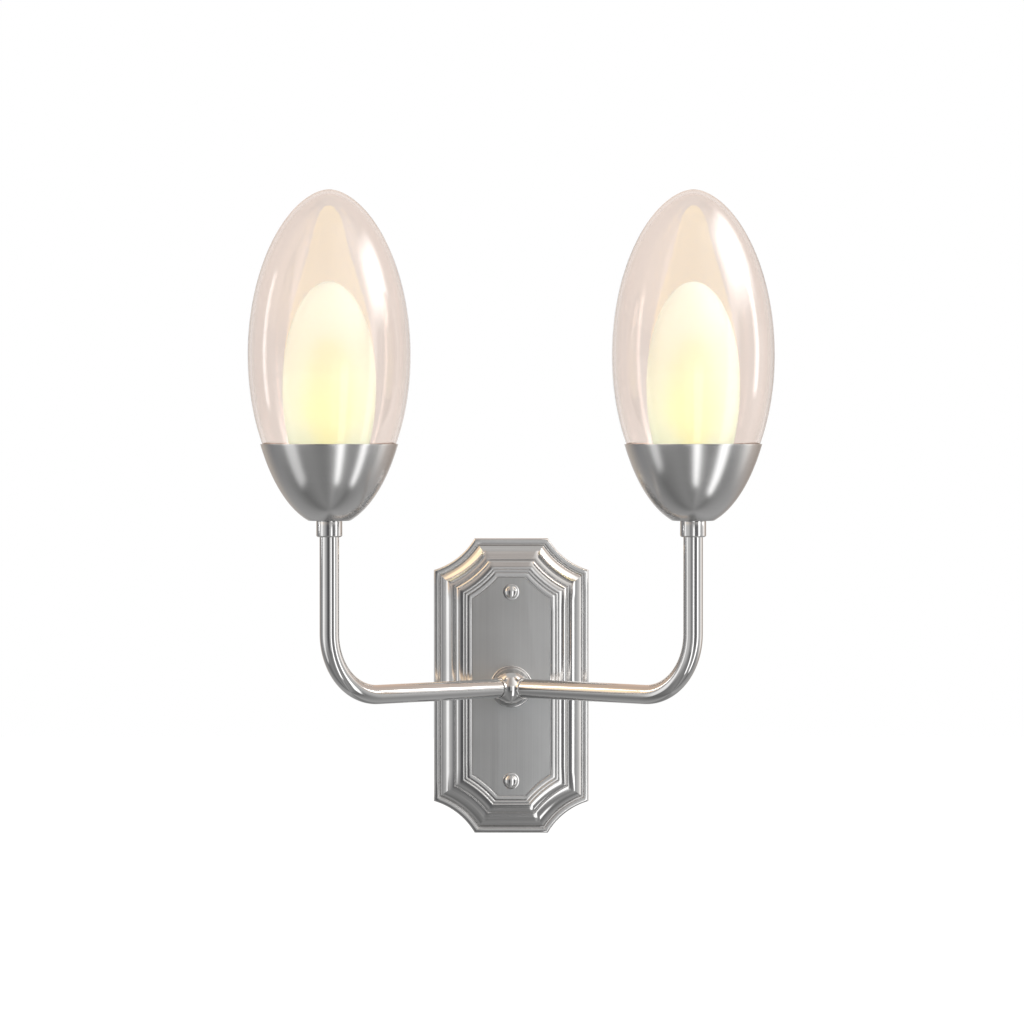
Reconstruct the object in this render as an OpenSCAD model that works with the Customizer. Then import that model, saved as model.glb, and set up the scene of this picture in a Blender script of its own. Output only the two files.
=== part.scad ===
// Two-light wall sconce: a moulded plate, two bent arms and double glass shades.
// Sizes are in millimetres. The origin lies on the wall plane, at the centre of
// the mounting bar. +Z is up, +X is to the viewer's right, and the lights stand
// out from the wall towards -Y.

/* [Backplate] */
// Width across the straight sides
plate_w = 105; // [100:0.5:120]
// Height between the straight ends
plate_h = 200; // [190:1:230]
// Radius of each scooped corner
scoop_r = 47.8; // [44:0.1:52]
// Distance of a scoop's centre outside the side edge
scoop_out_x = 13.5; // [11:0.5:18]
// Distance of a scoop's centre beyond the end edge
scoop_out_z = 24.3; // [21:0.1:30]
// How much wider the moulding runs round a scoop than along a side
scoop_spread = 1.08; // [1:0.01:1.15]
// Wall of the pressed shell
shell_wall = 1.8; // [1.4:0.1:2.2]
// Width of the lip at the outer edge
lip_w = 3.2; // [2.6:0.1:4]
// Height of the lip above the wall
lip_h = 6.5; // [5.8:0.1:7.5]
// Rounding of the lip's outer edge
lip_round = 1.2; // [0.6:0.1:1.8]
// Width of the groove inside the lip
lip_groove_w = 1.2; // [0.8:0.1:1.6]
// Width of the broad round moulding
cove_w = 9.6; // [8.4:0.1:11]
// Rise of the broad round moulding
cove_rise = 6.7; // [5.5:0.1:8]
// Tilt of the round moulding at its outer edge
cove_foot_tilt = 62; // [50:1:70]
// Tilt of the round moulding at its inner edge
cove_top_tilt = 8; // [0:1:20]
// Width of the sunk line between the round moulding and the bead
step_w = 1; // [0.8:0.1:1.4]
// Rise from the round moulding's top to the bead's foot
step_rise = 0.8; // [0.5:0.1:1.2]
// Width of the rounded bead inside it
bead_w = 5.4; // [4.6:0.1:6.4]
// Rise of the rounded bead
bead_rise = 2.2; // [1.6:0.1:2.8]
// Width of each fine groove in the border round the panel
border_groove_w = 0.6; // [0.5:0.1:0.9]
// Width of the raised line between the fine grooves
border_line_w = 1.4; // [1:0.1:2]
// Width of the flat land next to the panel
border_land_w = 2.6; // [2:0.1:3.4]
// Depth of the grooves in the mouldings
groove_depth = 0.7; // [0.4:0.05:0.9]

/* [Centre panel] */
// Thickness of the inset panel
panel_t = 2; // [1.5:0.1:2.5]
// Depth of the panel's face below the bead's crest
panel_sink = 1.2; // [0.9:0.1:1.6]
// Gap between the panel's edge and its recess
panel_gap = 0.5; // [0.3:0.05:0.8]
// Bevel along the panel's front edge
panel_bevel = 0.35; // [0.2:0.05:0.6]
// Thickness of the shell under the panel
panel_web = 2; // [1.5:0.1:2.5]

/* [Mounting bar] */
// Width of the bar
bar_w = 20; // [16:0.5:22]
// Thickness of the bar
bar_t = 2; // [1.5:0.1:2.5]
// Spacing of the slots that take the wall box's screws
slot_spacing = 88.9; // [82:0.1:96]
// Width of those slots
slot_w = 4.8; // [4.2:0.1:5.5]
// Length of those slots from end to end
slot_l = 12; // [8:0.5:14]
// Distance of the earth screw below the centre
earth_drop = 24; // [19:0.5:28]
// Head diameter of the earth screw
earth_head_d = 8; // [7:0.5:9]
// Head height of the earth screw
earth_head_h = 2.6; // [2:0.1:3.5]

/* [Plate screws] */
// Distance of each plate screw in from the plate's end
screw_in = 36; // [34:0.5:38]
// Shank diameter
screw_d = 4; // [3:0.1:5]
// Head diameter
screw_head_d = 8.5; // [7.5:0.1:9.5]
// Height of the head's straight edge
screw_rim_h = 0.7; // [0.4:0.1:1]
// Height of the head's dome above its edge
screw_dome_h = 1.7; // [1.2:0.1:2.2]
// Width of the driver slot
screw_slot_w = 1.1; // [0.8:0.1:1.4]
// Depth of the driver slot
screw_slot_depth = 1.1; // [0.8:0.1:1.4]
// Diameter of the ring under each head
screw_ring_d = 11; // [10:0.1:12.5]
// Thickness of that ring
screw_ring_t = 0.8; // [0.6:0.1:1.2]

/* [Hub] */
// Diameter of the ball that joins the arms
ball_d = 25.4; // [24.5:0.1:27]
// Height of the ball's foot above its ring
ball_foot_h = 0.6; // [0.4:0.1:1.2]
// Diameter of the ball's foot
ball_foot_d = 14; // [12.5:0.5:16]
// Diameter of the hollow inside the ball
ball_hollow_d = 13; // [11:0.5:13.5]
// Diameter of the rim round each arm's socket in the ball
socket_rim_d = 14.3; // [13.8:0.1:15]
// Distance of that rim's face from the ball's centre
socket_rim_out = 12; // [11.6:0.1:12.8]
// Diameter of the ring between the ball and the panel
hub_ring_d = 28.6; // [27:0.1:32]
// Thickness of that ring
hub_ring_t = 1.7; // [1.4:0.1:2.5]
// Diameter of the washer behind the plate
hub_washer_d = 20; // [18:0.5:22]

/* [Nipples and nuts] */
// Outer diameter of the threaded nipples
nipple_d = 10; // [9.6:0.05:10.05]
// Bore of the threaded nipples
nipple_bore = 7.2; // [7:0.1:7.6]
// Width of the hexagon nuts across their flats
nut_flats = 14; // [13:0.5:15]
// Thickness of the nuts
nut_t = 3.5; // [3:0.1:4]
// Thickness of the washers
washer_t = 1; // [0.8:0.1:1.4]

/* [Arms] */
// Outer diameter of the arm tube
arm_d = 12.7; // [12.5:0.1:13]
// Wall of the arm tube
arm_wall = 1.2; // [1:0.05:1.25]
// Reach from the ball's centre to a light's axis, seen from above
arm_reach = 158.6; // [145:0.1:175]
// Angle of each arm out from the wall
arm_angle = 42; // [38:0.5:46]
// Bend radius of the tube's centre line
arm_bend_r = 41; // [34:0.5:50]
// Depth of the tube's socket in the ball
arm_seat_depth = 3.9; // [3:0.1:4.2]
// Diameter of the wiring in each arm
lead_d = 3; // [2.6:0.1:3.1]
// Diameter of the sleeving on the wiring inside the hub
lead_sleeve_d = 3.3; // [3.2:0.05:3.4]
// Bend radius of the wiring inside the ball
lead_bend_r = 8; // [6:0.5:9]

/* [Collars and cups] */
// Height of a cup's underside above the plate's centre
cup_base_z = 114.3; // [105:0.1:130]
// Height of a cup
cup_h = 49.7; // [46:0.1:54]
// Outer diameter of a cup at its rim
cup_rim_d = 89.4; // [86:0.1:94]
// Diameter of a cup's flat underside
cup_base_d = 27.2; // [25.5:0.1:31]
// Wall of a cup
cup_wall = 0.9; // [0.7:0.05:1.2]
// Diameter of the collar under a cup
collar_d = 16.9; // [16:0.1:19]
// Height of the collar
collar_h = 10.6; // [9:0.1:13]
// Thickness of the collar's end that carries the cup
collar_end_t = 3.1; // [2:0.1:4]
// Bevel along the collar's lower edge
collar_bevel = 0.8; // [0.4:0.1:1.2]
// Diameter of the washer on a cup's floor
cup_washer_d = 22; // [18:0.5:24]

/* [Lamp holders] */
// Diameter of the holder's lower body
holder_d = 30; // [28:0.5:32]
// Height of the holder's lower body
holder_shoulder_h = 22.7; // [20:0.1:26]
// Diameter of the holder's threaded sleeve
sleeve_d = 25; // [22:0.5:26]
// Height of the threaded sleeve above the shoulder
sleeve_h = 15.6; // [13:0.1:18]
// Depth of the lamp's seat below the shoulder
holder_seat_depth = 8.4; // [7.5:0.1:9.5]
// Depth of the nipple in the holder
holder_nipple_depth = 8; // [6:0.5:9]
// Thickness of the floor under the lamp
holder_floor_t = 3; // [2.5:0.1:4]
// Wall of the screw shell
screw_shell_wall = 0.6; // [0.4:0.05:0.8]
// Diameter of the ring that clamps the glass tray
shade_ring_d = 34; // [32:0.5:36]
// Height of that ring
shade_ring_h = 6; // [4:0.5:8]
// Thickness of the tray that carries both glasses
tray_t = 1.2; // [1:0.1:1.6]
// Thickness of the gaskets under the glasses
gasket_t = 1.2; // [1:0.1:2]
// Width of the gaskets' upstanding lips
gasket_lip_w = 0.8; // [0.6:0.1:1]
// Height of the gaskets' upstanding lips
gasket_lip_h = 2; // [1:0.1:3]

/* [Glasses] */
// Largest diameter of the clear outer glass
outer_glass_d = 105.5; // [100:0.5:112]
// Height of the outer glass's widest line above the cup's rim
outer_mid_h = 57.6; // [50:0.1:64]
// Height of the outer glass's top above its widest line
outer_top_h = 107.2; // [98:0.1:120]
// Wall of the outer glass
outer_glass_t = 2.6; // [2:0.1:3]
// Largest diameter of the frosted inner glass
inner_glass_d = 60.6; // [56:0.1:61]
// Diameter of the inner glass's neck
inner_neck_d = 45.6; // [44:0.1:48]
// Height of the inner glass's widest line above its foot
inner_mid_h = 56.6; // [50:0.1:60]
// Height of the inner glass's top above its widest line
inner_top_h = 67.6; // [64:0.1:74]
// Half height of the curve that runs in towards the inner glass's neck
inner_low_h = 72.3; // [68:0.1:78]
// Wall of the inner glass
inner_glass_t = 2.2; // [1.6:0.1:2.4]

/* [Lamps] */
// Diameter of a lamp's screw base
base_d = 11.9; // [11.5:0.05:12.2]
// Height of the screw base
base_h = 17.5; // [16:0.1:18]
// Wall of the screw base
base_wall = 0.5; // [0.3:0.05:0.6]
// Largest diameter of the lamp's glass
lamp_d = 35; // [30:0.5:36]
// Height of the lamp's lower curve
lamp_low_h = 26; // [22:0.5:28]
// Height of the lamp's upper curve
lamp_top_h = 49; // [40:0.5:52]
// Wall of the lamp's glass
lamp_glass_t = 0.8; // [0.6:0.1:1]
// Height of the glass stem inside a lamp
stem_h = 26; // [20:0.5:30]
// Radius of the filament's arch
filament_r = 7; // [5:0.5:9]
// Height of the arch's ends above the stem
filament_rise = 6; // [4:0.5:9]

/* [Fits] */
// Radial clearance of a bolt or nipple in a plain hole
hole_clear = 0.15; // [0.1:0.01:0.25]
// Radial clearance of a part that is pushed or screwed home
seat_clear = 0.05; // [0.02:0.01:0.1]
// Radial running clearance of a lamp in its screw shell
lamp_clear = 0.08; // [0.04:0.01:0.1]
// Gap under a glass, and under a lamp's tip
rest_gap = 0.1; // [0.05:0.01:0.3]
// Gap between the glass and the cup at the rim
rim_gap = 0.35; // [0.3:0.05:0.8]

/* [Hidden] */
$fn = 96;

// Colours of the finishes
nickel = [0.66, 0.64, 0.61];
nickel_panel = [0.58, 0.58, 0.57];
zinc = [0.62, 0.64, 0.66];
brass = [0.80, 0.66, 0.36];
porcelain = [0.93, 0.92, 0.88];
silicone = [0.90, 0.90, 0.88];
clear_glass = [0.92, 0.88, 0.84, 0.35];
frosted_glass = [0.98, 0.95, 0.84, 0.8];
earth_green = [0.15, 0.45, 0.20];
wire_sheath = [0.85, 0.84, 0.80];
filament_glow = [1.0, 0.80, 0.35];
black_insulator = [0.12, 0.11, 0.10];

// Overrun that lets a cut pass cleanly through a face
cut = 1;

// Distances inward from the plate's edge, and heights above the wall
cove_in = lip_w + lip_groove_w;
cove_out = cove_in + cove_w;
bead_in = cove_out + step_w;
bead_out = bead_in + bead_w;
line_in = bead_out + border_groove_w;
line_out = line_in + border_line_w;
land_in = line_out + border_groove_w;
recess_in = land_in + border_land_w;
panel_in = recess_in + panel_gap;
cove_top = lip_h + cove_rise;
bead_foot = cove_top + step_rise;
crest = bead_foot + bead_rise;
panel_front = crest - panel_sink;
panel_back = panel_front - panel_t;
border_front = (crest + panel_front) / 2;
shell_inside = panel_back - panel_web;
lip_inside = lip_h - shell_wall;
scoop_x = plate_w / 2 + scoop_out_x;
scoop_z = plate_h / 2 + scoop_out_z;
step_groove_margin = 0.25;
lip_steps = 4;
cove_steps = 12;
bead_steps = 6;

// Mounting bar and its screws
screw_z = plate_h / 2 - screw_in;
bar_end_margin = 8;
bar_l = 2 * (screw_z + bar_end_margin);
bar_end_gap = 0.3;
earth_shank_d = 3.5;
earth_slot_w = 1;
screw_head_steps = 6;
screw_ring_round = 0.3;
ring_steps = 4;

// Hub, measured outward from the wall
hub_ring_front = panel_front + hub_ring_t;
hub_ring_round = 0.7;
ball_r = ball_d / 2;
ball_forward = hub_ring_front + ball_foot_h + ball_r;
arm_circle = sqrt(pow(ball_r, 2) - pow(arm_d / 2, 2));
arm_seat = arm_circle - arm_seat_depth;
ball_shoulder_t = 0.5;
nipple_end_gap = 0.4;
ball_bore_floor = ball_forward - ball_hollow_d / 2 - ball_shoulder_t;
hub_nipple_front = ball_bore_floor - nipple_end_gap;
hub_washer_back = shell_inside - washer_t;
hub_nut_back = hub_washer_back - nut_t;

// Arms and lights
arm_bore = arm_d - 2 * arm_wall;
arm_run_end = arm_reach - arm_bend_r;
bend_overlap = 0.3;
bend_thinning = 0.02;
light_x = arm_reach * cos(arm_angle);
light_y = -ball_forward - arm_reach * sin(arm_angle);
collar_base_z = cup_base_z - collar_h;
arm_top_z = cup_base_z - collar_end_t;
nipple_in_arm = 7.5;
lead_spacing = 0.1;
lead_offset = lead_sleeve_d / 2 + lead_spacing / 2;
sleeve_overlap = 0.5;
lead_turn = 90 - arm_angle;
lead_tangent = lead_bend_r * tan(lead_turn / 2);
lead_meet = lead_offset / cos(arm_angle);
lead_meet_y = -ball_forward - lead_meet * sin(arm_angle);

// Cup: an ellipse through its rim and its base
cup_rim_z = cup_base_z + cup_h;
cup_curve_z = cup_rim_z + outer_mid_h;
rim_r = cup_rim_d / 2;
foot_r = cup_base_d / 2;
cup_low = outer_mid_h + cup_h;
cup_b = 1 / sqrt((pow(rim_r, 2) - pow(foot_r, 2))
    / (pow(rim_r * cup_low, 2) - pow(foot_r * outer_mid_h, 2)));
cup_a = rim_r / sqrt(1 - pow(outer_mid_h / cup_b, 2));
cup_steps = 16;
cup_step_power = 1.5;
cup_floor_z = cup_base_z + cup_wall;
cup_nut_z = cup_floor_z + washer_t;
holder_z = cup_nut_z + nut_t;

// Lamp holder and what it carries
shoulder_z = holder_z + holder_shoulder_h;
holder_top_z = shoulder_z + sleeve_h;
cup_nipple_top = holder_z + holder_nipple_depth;
nipple_room = 0.3;
screw_shell_d = base_d + 2 * lamp_clear + 2 * screw_shell_wall;
shell_recess = 1;
contact_d = 6;
contact_t = 0.8;
contact_stem_d = 2.8;
contact_stem_l = 3.4;
floor_top_z = shoulder_z - holder_seat_depth;
floor_under_z = floor_top_z - holder_floor_t;
lead_top_z = floor_top_z - contact_stem_l;
tray_top_z = shoulder_z + tray_t;
glass_foot_z = tray_top_z + gasket_t + rest_gap;

// Outer glass: one ellipse below its widest line, a slightly keener one above
outer_r = outer_glass_d / 2;
outer_mid_z = cup_rim_z + outer_mid_h;
outer_fit_r = cup_radius(cup_rim_z, cup_wall) - rim_gap;
outer_low_h = outer_mid_h / sqrt(1 - pow(outer_fit_r / outer_r, 2));
outer_top_power = 1.12;
outer_foot_r = outer_r * sqrt(1 - pow((outer_mid_z - glass_foot_z) / outer_low_h, 2));
outer_foot_in_r = (outer_r - outer_glass_t)
    * sqrt(1 - pow((outer_mid_z - glass_foot_z) / (outer_low_h - outer_glass_t), 2));
glass_low_steps = 14;
glass_top_steps = 20;

// Inner glass: a straight neck, then an ellipse below and above its widest line
inner_r = inner_glass_d / 2;
neck_r = inner_neck_d / 2;
inner_mid_z = glass_foot_z + inner_mid_h;
tray_r = cup_radius(shoulder_z, cup_wall) - rim_gap;
lip_gap = 0.4;

// Lamp
tip_z = floor_top_z + contact_t + rest_gap;
tip_h = 1.5;
tip_d = 4.6;
tip_steps = 4;
insulator_h = 2.2;
base_z = tip_z + tip_h + insulator_h;
base_top_z = base_z + base_h;
lamp_neck_out = 0.35;
lamp_neck_r = base_d / 2 + lamp_neck_out;
lamp_neck_h = 3;
lamp_plug_r = base_d / 2 - base_wall - seat_clear;
lamp_plug_h = 6;
lamp_mid_z = base_top_z + lamp_neck_h + lamp_low_h;
lamp_low_steps = 10;
lamp_top_steps = 12;
stem_foot_z = base_top_z - lamp_plug_h;
stem_top_z = base_top_z + stem_h;
stem_r = 1.5;
stem_foot_r = lamp_plug_r - lamp_glass_t - seat_clear;
support_d = 0.7;
filament_d = 1;
filament_z = stem_top_z + filament_rise;

// Radius of the cup's inner or outer face at a height: skin is 0 for the outer face
function cup_radius(z, skin) =
    (cup_a - skin) * sqrt(1 - pow((cup_curve_z - z) / (cup_b - skin), 2));

// A smooth S-shaped rise from 0 to 1
function s_curve(t) = t * t * (3 - 2 * t);

// Points of a list, last first
function reversed(points) = [for (i = [len(points) - 1 : -1 : 0]) points[i]];

// A quarter ellipse from (x + rx, y) up to (x, y + ry)
function quarter(x, y, rx, ry, steps, power = 1) =
    [for (i = [0 : steps]) [x + rx * pow(cos(90 * i / steps), power), y + ry * sin(90 * i / steps)]];

// A point part of the way up the round moulding, as parts of its width and of its rise
function cove_point(part) =
    let (tilt = cove_foot_tilt + (cove_top_tilt - cove_foot_tilt) * part)
    [(sin(cove_foot_tilt) - sin(tilt)) / (sin(cove_foot_tilt) - sin(cove_top_tilt)),
     (cos(tilt) - cos(cove_foot_tilt)) / (cos(cove_top_tilt) - cos(cove_foot_tilt))];

// The plate's moulding: [distance inward from the edge, height above the wall]
plate_profile = concat(
    [[0, 0]],
    [for (i = [0 : lip_steps])
        [lip_round * (1 - cos(90 * i / lip_steps)),
         lip_h - lip_round * (1 - sin(90 * i / lip_steps))]],
    [for (i = [0 : cove_steps]) let (p = cove_point(i / cove_steps))
        [cove_in + cove_w * p[0], lip_h + cove_rise * p[1]]],
    [[bead_in, cove_top]],
    [for (i = [0 : bead_steps])
        [bead_in + bead_w * (1 - cos(90 * i / bead_steps)), bead_foot + bead_rise * sin(90 * i / bead_steps)]]
);

// The hollow behind the moulding
cavity_profile = [
    [shell_wall, -cut],
    [shell_wall, lip_inside],
    [cove_in + shell_wall, lip_inside],
    [cove_out + shell_wall, shell_inside]
];

// The inset panel, with a bevel along its front edge
panel_profile = [
    [panel_in, panel_back],
    [panel_in, panel_front - panel_bevel],
    [panel_in + panel_bevel, panel_front]
];

// Both sides of a moulding, from edge to edge of the plate
function both_sides(half, profile) = concat(
    [for (p = profile) [p[0] - half, p[1]]],
    [for (p = reversed(profile)) [half - p[0], p[1]]]
);

// What a scooped corner takes away, as a shape to turn about the scoop's centre
function scoop_cutter(profile) = concat(
    [[0, profile[0][1] - cut], [scoop_r + scoop_spread * profile[0][0], profile[0][1] - cut]],
    [for (p = profile) [scoop_r + scoop_spread * p[0], p[1]]],
    [[scoop_r + scoop_spread * profile[len(profile) - 1][0], profile[len(profile) - 1][1] + cut],
     [0, profile[len(profile) - 1][1] + cut]]
);

// Turns work so that Z points out from the wall and Y points up
module on_wall() {
    rotate([90, 0, 0]) children();
}

// A piece drawn for the right-hand light, on the side that is named
module on_side(side) {
    if (side == "left") mirror([1, 0, 0]) children();
    else children();
}

// Moves work to the axis of the right-hand light
module at_light() {
    translate([light_x, light_y, 0]) children();
}

// Turns X along the right-hand arm, from the ball's centre outward
module along_arm() {
    translate([0, -ball_forward, 0]) rotate([0, 0, -arm_angle]) children();
}

// A round piece turned about Z from a list of [radius, height] points
module turned(points) {
    rotate_extrude() polygon(points);
}

// A plain ring standing on Z = 0
module plain_ring(outer_d, inner_d, height) {
    difference() {
        cylinder(d = outer_d, h = height);
        translate([0, 0, -cut]) cylinder(d = inner_d, h = height + 2 * cut);
    }
}

// A hexagon nut standing on Z = 0
module hex_nut() {
    difference() {
        cylinder(d = nut_flats / cos(30), h = nut_t, $fn = 6);
        translate([0, 0, -cut]) cylinder(d = nipple_d + 2 * seat_clear, h = nut_t + 2 * cut);
    }
}

// The plate's outline, drawn in by a distance
module plate_outline(inset) {
    difference() {
        square([plate_w - 2 * inset, plate_h - 2 * inset], center = true);
        for (sx = [-1, 1], sz = [-1, 1])
            translate([sx * scoop_x, sz * scoop_z]) circle(r = scoop_r + scoop_spread * inset);
    }
}

// A solid that rises inward from the plate's edge along a profile
module moulded_solid(profile) {
    difference() {
        intersection() {
            rotate([90, 0, 0])
                linear_extrude(plate_h + 2 * cut, center = true) polygon(both_sides(plate_w / 2, profile));
            rotate([90, 0, 90])
                linear_extrude(plate_w + 2 * cut, center = true) polygon(both_sides(plate_h / 2, profile));
        }
        for (sx = [-1, 1], sz = [-1, 1])
            translate([sx * scoop_x, sz * scoop_z, 0]) turned(scoop_cutter(profile));
    }
}

// A groove that follows the plate's outline between two distances inward
module outline_groove(from, to, floor_h) {
    translate([0, 0, floor_h]) linear_extrude(crest) difference() {
        plate_outline(from);
        plate_outline(to);
    }
}

// Places work at both plate screws
module at_plate_screws() {
    for (sz = [-1, 1]) translate([0, sz * screw_z, 0]) children();
}

module mounting_bar() {
    color(zinc) on_wall() difference() {
        translate([-bar_w / 2, -bar_l / 2, 0]) cube([bar_w, bar_l, bar_t]);
        translate([0, 0, -cut]) cylinder(d = nipple_d + 2 * seat_clear, h = bar_t + 2 * cut);
        at_plate_screws() translate([0, 0, -cut]) cylinder(d = screw_d + 2 * seat_clear, h = bar_t + 2 * cut);
        translate([0, -earth_drop, -cut]) cylinder(d = earth_shank_d + 2 * seat_clear, h = bar_t + 2 * cut);
        for (sz = [-1, 1]) translate([0, sz * slot_spacing / 2, -cut]) box_slot();
    }
}

// One slot for a wall box's screw, along the bar
module box_slot() {
    straight = slot_l - slot_w;
    translate([-slot_w / 2, -straight / 2, 0]) cube([slot_w, straight, bar_t + 2 * cut]);
    for (sz = [-1, 1]) translate([0, sz * straight / 2, 0]) cylinder(d = slot_w, h = bar_t + 2 * cut);
}

module earth_screw() {
    color(earth_green) on_wall() translate([0, -earth_drop, 0]) difference() {
        union() {
            translate([0, 0, bar_end_gap]) cylinder(d = earth_shank_d, h = bar_t);
            translate([0, 0, bar_t]) cylinder(d = earth_head_d, h = earth_head_h);
        }
        translate([-earth_slot_w / 2, -earth_head_d, bar_t + earth_head_h / 2])
            cube([earth_slot_w, 2 * earth_head_d, earth_head_h]);
    }
}

module backplate() {
    color(nickel) on_wall() difference() {
        moulded_solid(plate_profile);
        moulded_solid(cavity_profile);
        outline_groove(lip_w, cove_in, lip_h - groove_depth);
        outline_groove(cove_out + step_groove_margin, bead_in - step_groove_margin, cove_top - groove_depth);
        translate([0, 0, border_front]) linear_extrude(crest) plate_outline(bead_out);
        outline_groove(bead_out, line_in, border_front - groove_depth);
        outline_groove(line_out, land_in, border_front - groove_depth);
        translate([0, 0, panel_back]) linear_extrude(crest) plate_outline(recess_in);
        cylinder(d = nipple_d + 2 * hole_clear, h = crest);
        at_plate_screws() cylinder(d = screw_d + 2 * hole_clear, h = crest);
    }
}

module centre_panel() {
    color(nickel_panel) on_wall() difference() {
        moulded_solid(panel_profile);
        cylinder(d = nipple_d + 2 * hole_clear, h = crest);
        at_plate_screws() cylinder(d = screw_d + 2 * hole_clear, h = crest);
    }
}

module plate_screws() {
    color(nickel) on_wall() at_plate_screws() plate_screw();
}

// One plate screw, with its point inside the mounting bar
module plate_screw() {
    head_z = panel_front + screw_ring_t;
    difference() {
        union() {
            translate([0, 0, bar_end_gap]) cylinder(d = screw_d, h = head_z);
            translate([0, 0, head_z]) cylinder(d = screw_head_d, h = screw_rim_h);
            translate([0, 0, head_z + screw_rim_h])
                turned(concat([[0, 0]], quarter(0, 0, screw_head_d / 2, screw_dome_h, screw_head_steps)));
        }
        translate([-screw_slot_w / 2, -screw_head_d, head_z + screw_rim_h + screw_dome_h - screw_slot_depth])
            cube([screw_slot_w, 2 * screw_head_d, screw_slot_depth + cut]);
    }
}

module plate_screw_rings() {
    ring_r = screw_ring_d / 2 - screw_ring_round;
    ring_edge = screw_ring_t - screw_ring_round;
    hole_r = screw_d / 2 + hole_clear;
    color(nickel) on_wall() at_plate_screws() translate([0, 0, panel_front])
        turned(concat(
            [[hole_r, 0], [screw_ring_d / 2, 0]],
            quarter(ring_r, ring_edge, screw_ring_round, screw_ring_round, ring_steps),
            [[hole_r, screw_ring_t]]
        ));
}

module hub_ring() {
    ring_r = hub_ring_d / 2 - hub_ring_round;
    ring_edge = hub_ring_t - hub_ring_round;
    hole_r = nipple_d / 2 + hole_clear;
    color(nickel) on_wall() translate([0, 0, panel_front])
        turned(concat(
            [[hole_r, 0], [hub_ring_d / 2, 0]],
            quarter(ring_r, ring_edge, hub_ring_round, hub_ring_round, ring_steps),
            [[hole_r, hub_ring_t]]
        ));
}

module hub_ball() {
    color(nickel) difference() {
        union() {
            translate([0, -ball_forward, 0]) sphere(d = ball_d);
            on_wall() translate([0, 0, hub_ring_front]) cylinder(d = ball_foot_d, h = ball_r);
            for (side = ["left", "right"]) on_side(side) along_arm() rotate([0, 90, 0])
                cylinder(d = socket_rim_d, h = socket_rim_out);
        }
        translate([0, -ball_forward, 0]) sphere(d = ball_hollow_d);
        on_wall() translate([0, 0, hub_ring_front - cut])
            cylinder(d = nipple_d + 2 * seat_clear, h = ball_bore_floor - hub_ring_front + cut);
        on_wall() translate([0, 0, hub_ring_front])
            cylinder(d = nipple_bore, h = ball_forward - hub_ring_front);
        for (side = ["left", "right"]) on_side(side) along_arm() rotate([0, 90, 0]) {
            translate([0, 0, arm_seat]) cylinder(d = arm_d + 2 * seat_clear, h = ball_d);
            cylinder(d = nipple_bore, h = arm_seat + cut);
        }
    }
}

module hub_nipple() {
    color(zinc) on_wall() translate([0, 0, bar_end_gap])
        plain_ring(nipple_d, nipple_bore, hub_nipple_front - bar_end_gap);
}

module hub_washer() {
    color(zinc) on_wall() translate([0, 0, hub_washer_back])
        plain_ring(hub_washer_d, nipple_d + 2 * hole_clear, washer_t);
}

module hub_nut() {
    color(zinc) on_wall() translate([0, 0, hub_nut_back]) hex_nut();
}

// The arm's straight run, as a round bar in the arm's own frame
module arm_run(d, start, end) {
    translate([start, 0, 0]) rotate([0, 90, 0]) cylinder(d = d, h = end - start);
}

// The arm's bend, as a round bar
module arm_bend(d) {
    translate([arm_run_end, 0, arm_bend_r]) rotate([90, 0, 0]) rotate([0, 0, -90])
        rotate_extrude(angle = 90) translate([arm_bend_r, 0]) circle(d = d);
}

// The arm's upright end under the light, as a round bar
module arm_upright(d, bottom_z, top_z) {
    translate([arm_reach, 0, bottom_z]) cylinder(d = d, h = top_z - bottom_z);
}

// Run, bend and upright as one round bar, with the bend a touch thinner
module arm_bar(d, start, top_z) {
    arm_run(d, start, arm_run_end + bend_overlap);
    arm_bend(d - bend_thinning);
    arm_upright(d, arm_bend_r - bend_overlap, top_z);
}

module arm(side) {
    color(nickel) on_side(side) along_arm() difference() {
        arm_bar(arm_d, arm_seat, arm_top_z);
        arm_bar(arm_bore, arm_seat - cut, arm_top_z + cut);
    }
}

// The wiring of one light, sleeved where it turns out through the hub's nipple
module lead(side) {
    turn_start = lead_meet + lead_tangent;
    color(wire_sheath) on_side(side) {
        along_arm() {
            arm_bar(lead_d, turn_start - bend_overlap, lead_top_z);
            translate([turn_start, lead_bend_r, 0]) rotate([0, 0, -90 - lead_turn])
                rotate_extrude(angle = lead_turn)
                    translate([lead_bend_r, 0]) circle(d = lead_d - bend_thinning);
        }
        translate([lead_offset, -bar_end_gap, 0]) rotate([90, 0, 0])
            cylinder(d = lead_sleeve_d, h = sleeve_overlap - lead_meet_y - lead_tangent - bar_end_gap);
    }
}

module collar(side) {
    color(nickel) on_side(side) at_light() translate([0, 0, collar_base_z]) difference() {
        turned([
            [0, 0],
            [collar_d / 2 - collar_bevel, 0],
            [collar_d / 2, collar_bevel],
            [collar_d / 2, collar_h],
            [0, collar_h]
        ]);
        translate([0, 0, -cut]) cylinder(d = arm_d + 2 * seat_clear, h = collar_h - collar_end_t + cut);
        cylinder(d = nipple_d + 2 * seat_clear, h = collar_h + cut);
    }
}

module cup(side) {
    outer = [for (i = [0 : cup_steps])
        let (z = cup_base_z + cup_h * pow(i / cup_steps, cup_step_power)) [cup_radius(z, 0), z]];
    inner = [for (i = [0 : cup_steps])
        let (z = cup_floor_z + (cup_h - cup_wall) * pow(i / cup_steps, cup_step_power))
            [cup_radius(z, cup_wall), z]];
    hole_r = nipple_d / 2 + hole_clear;
    color(nickel) on_side(side) at_light()
        turned(concat([[hole_r, cup_base_z]], outer, reversed(inner), [[hole_r, cup_floor_z]]));
}

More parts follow.
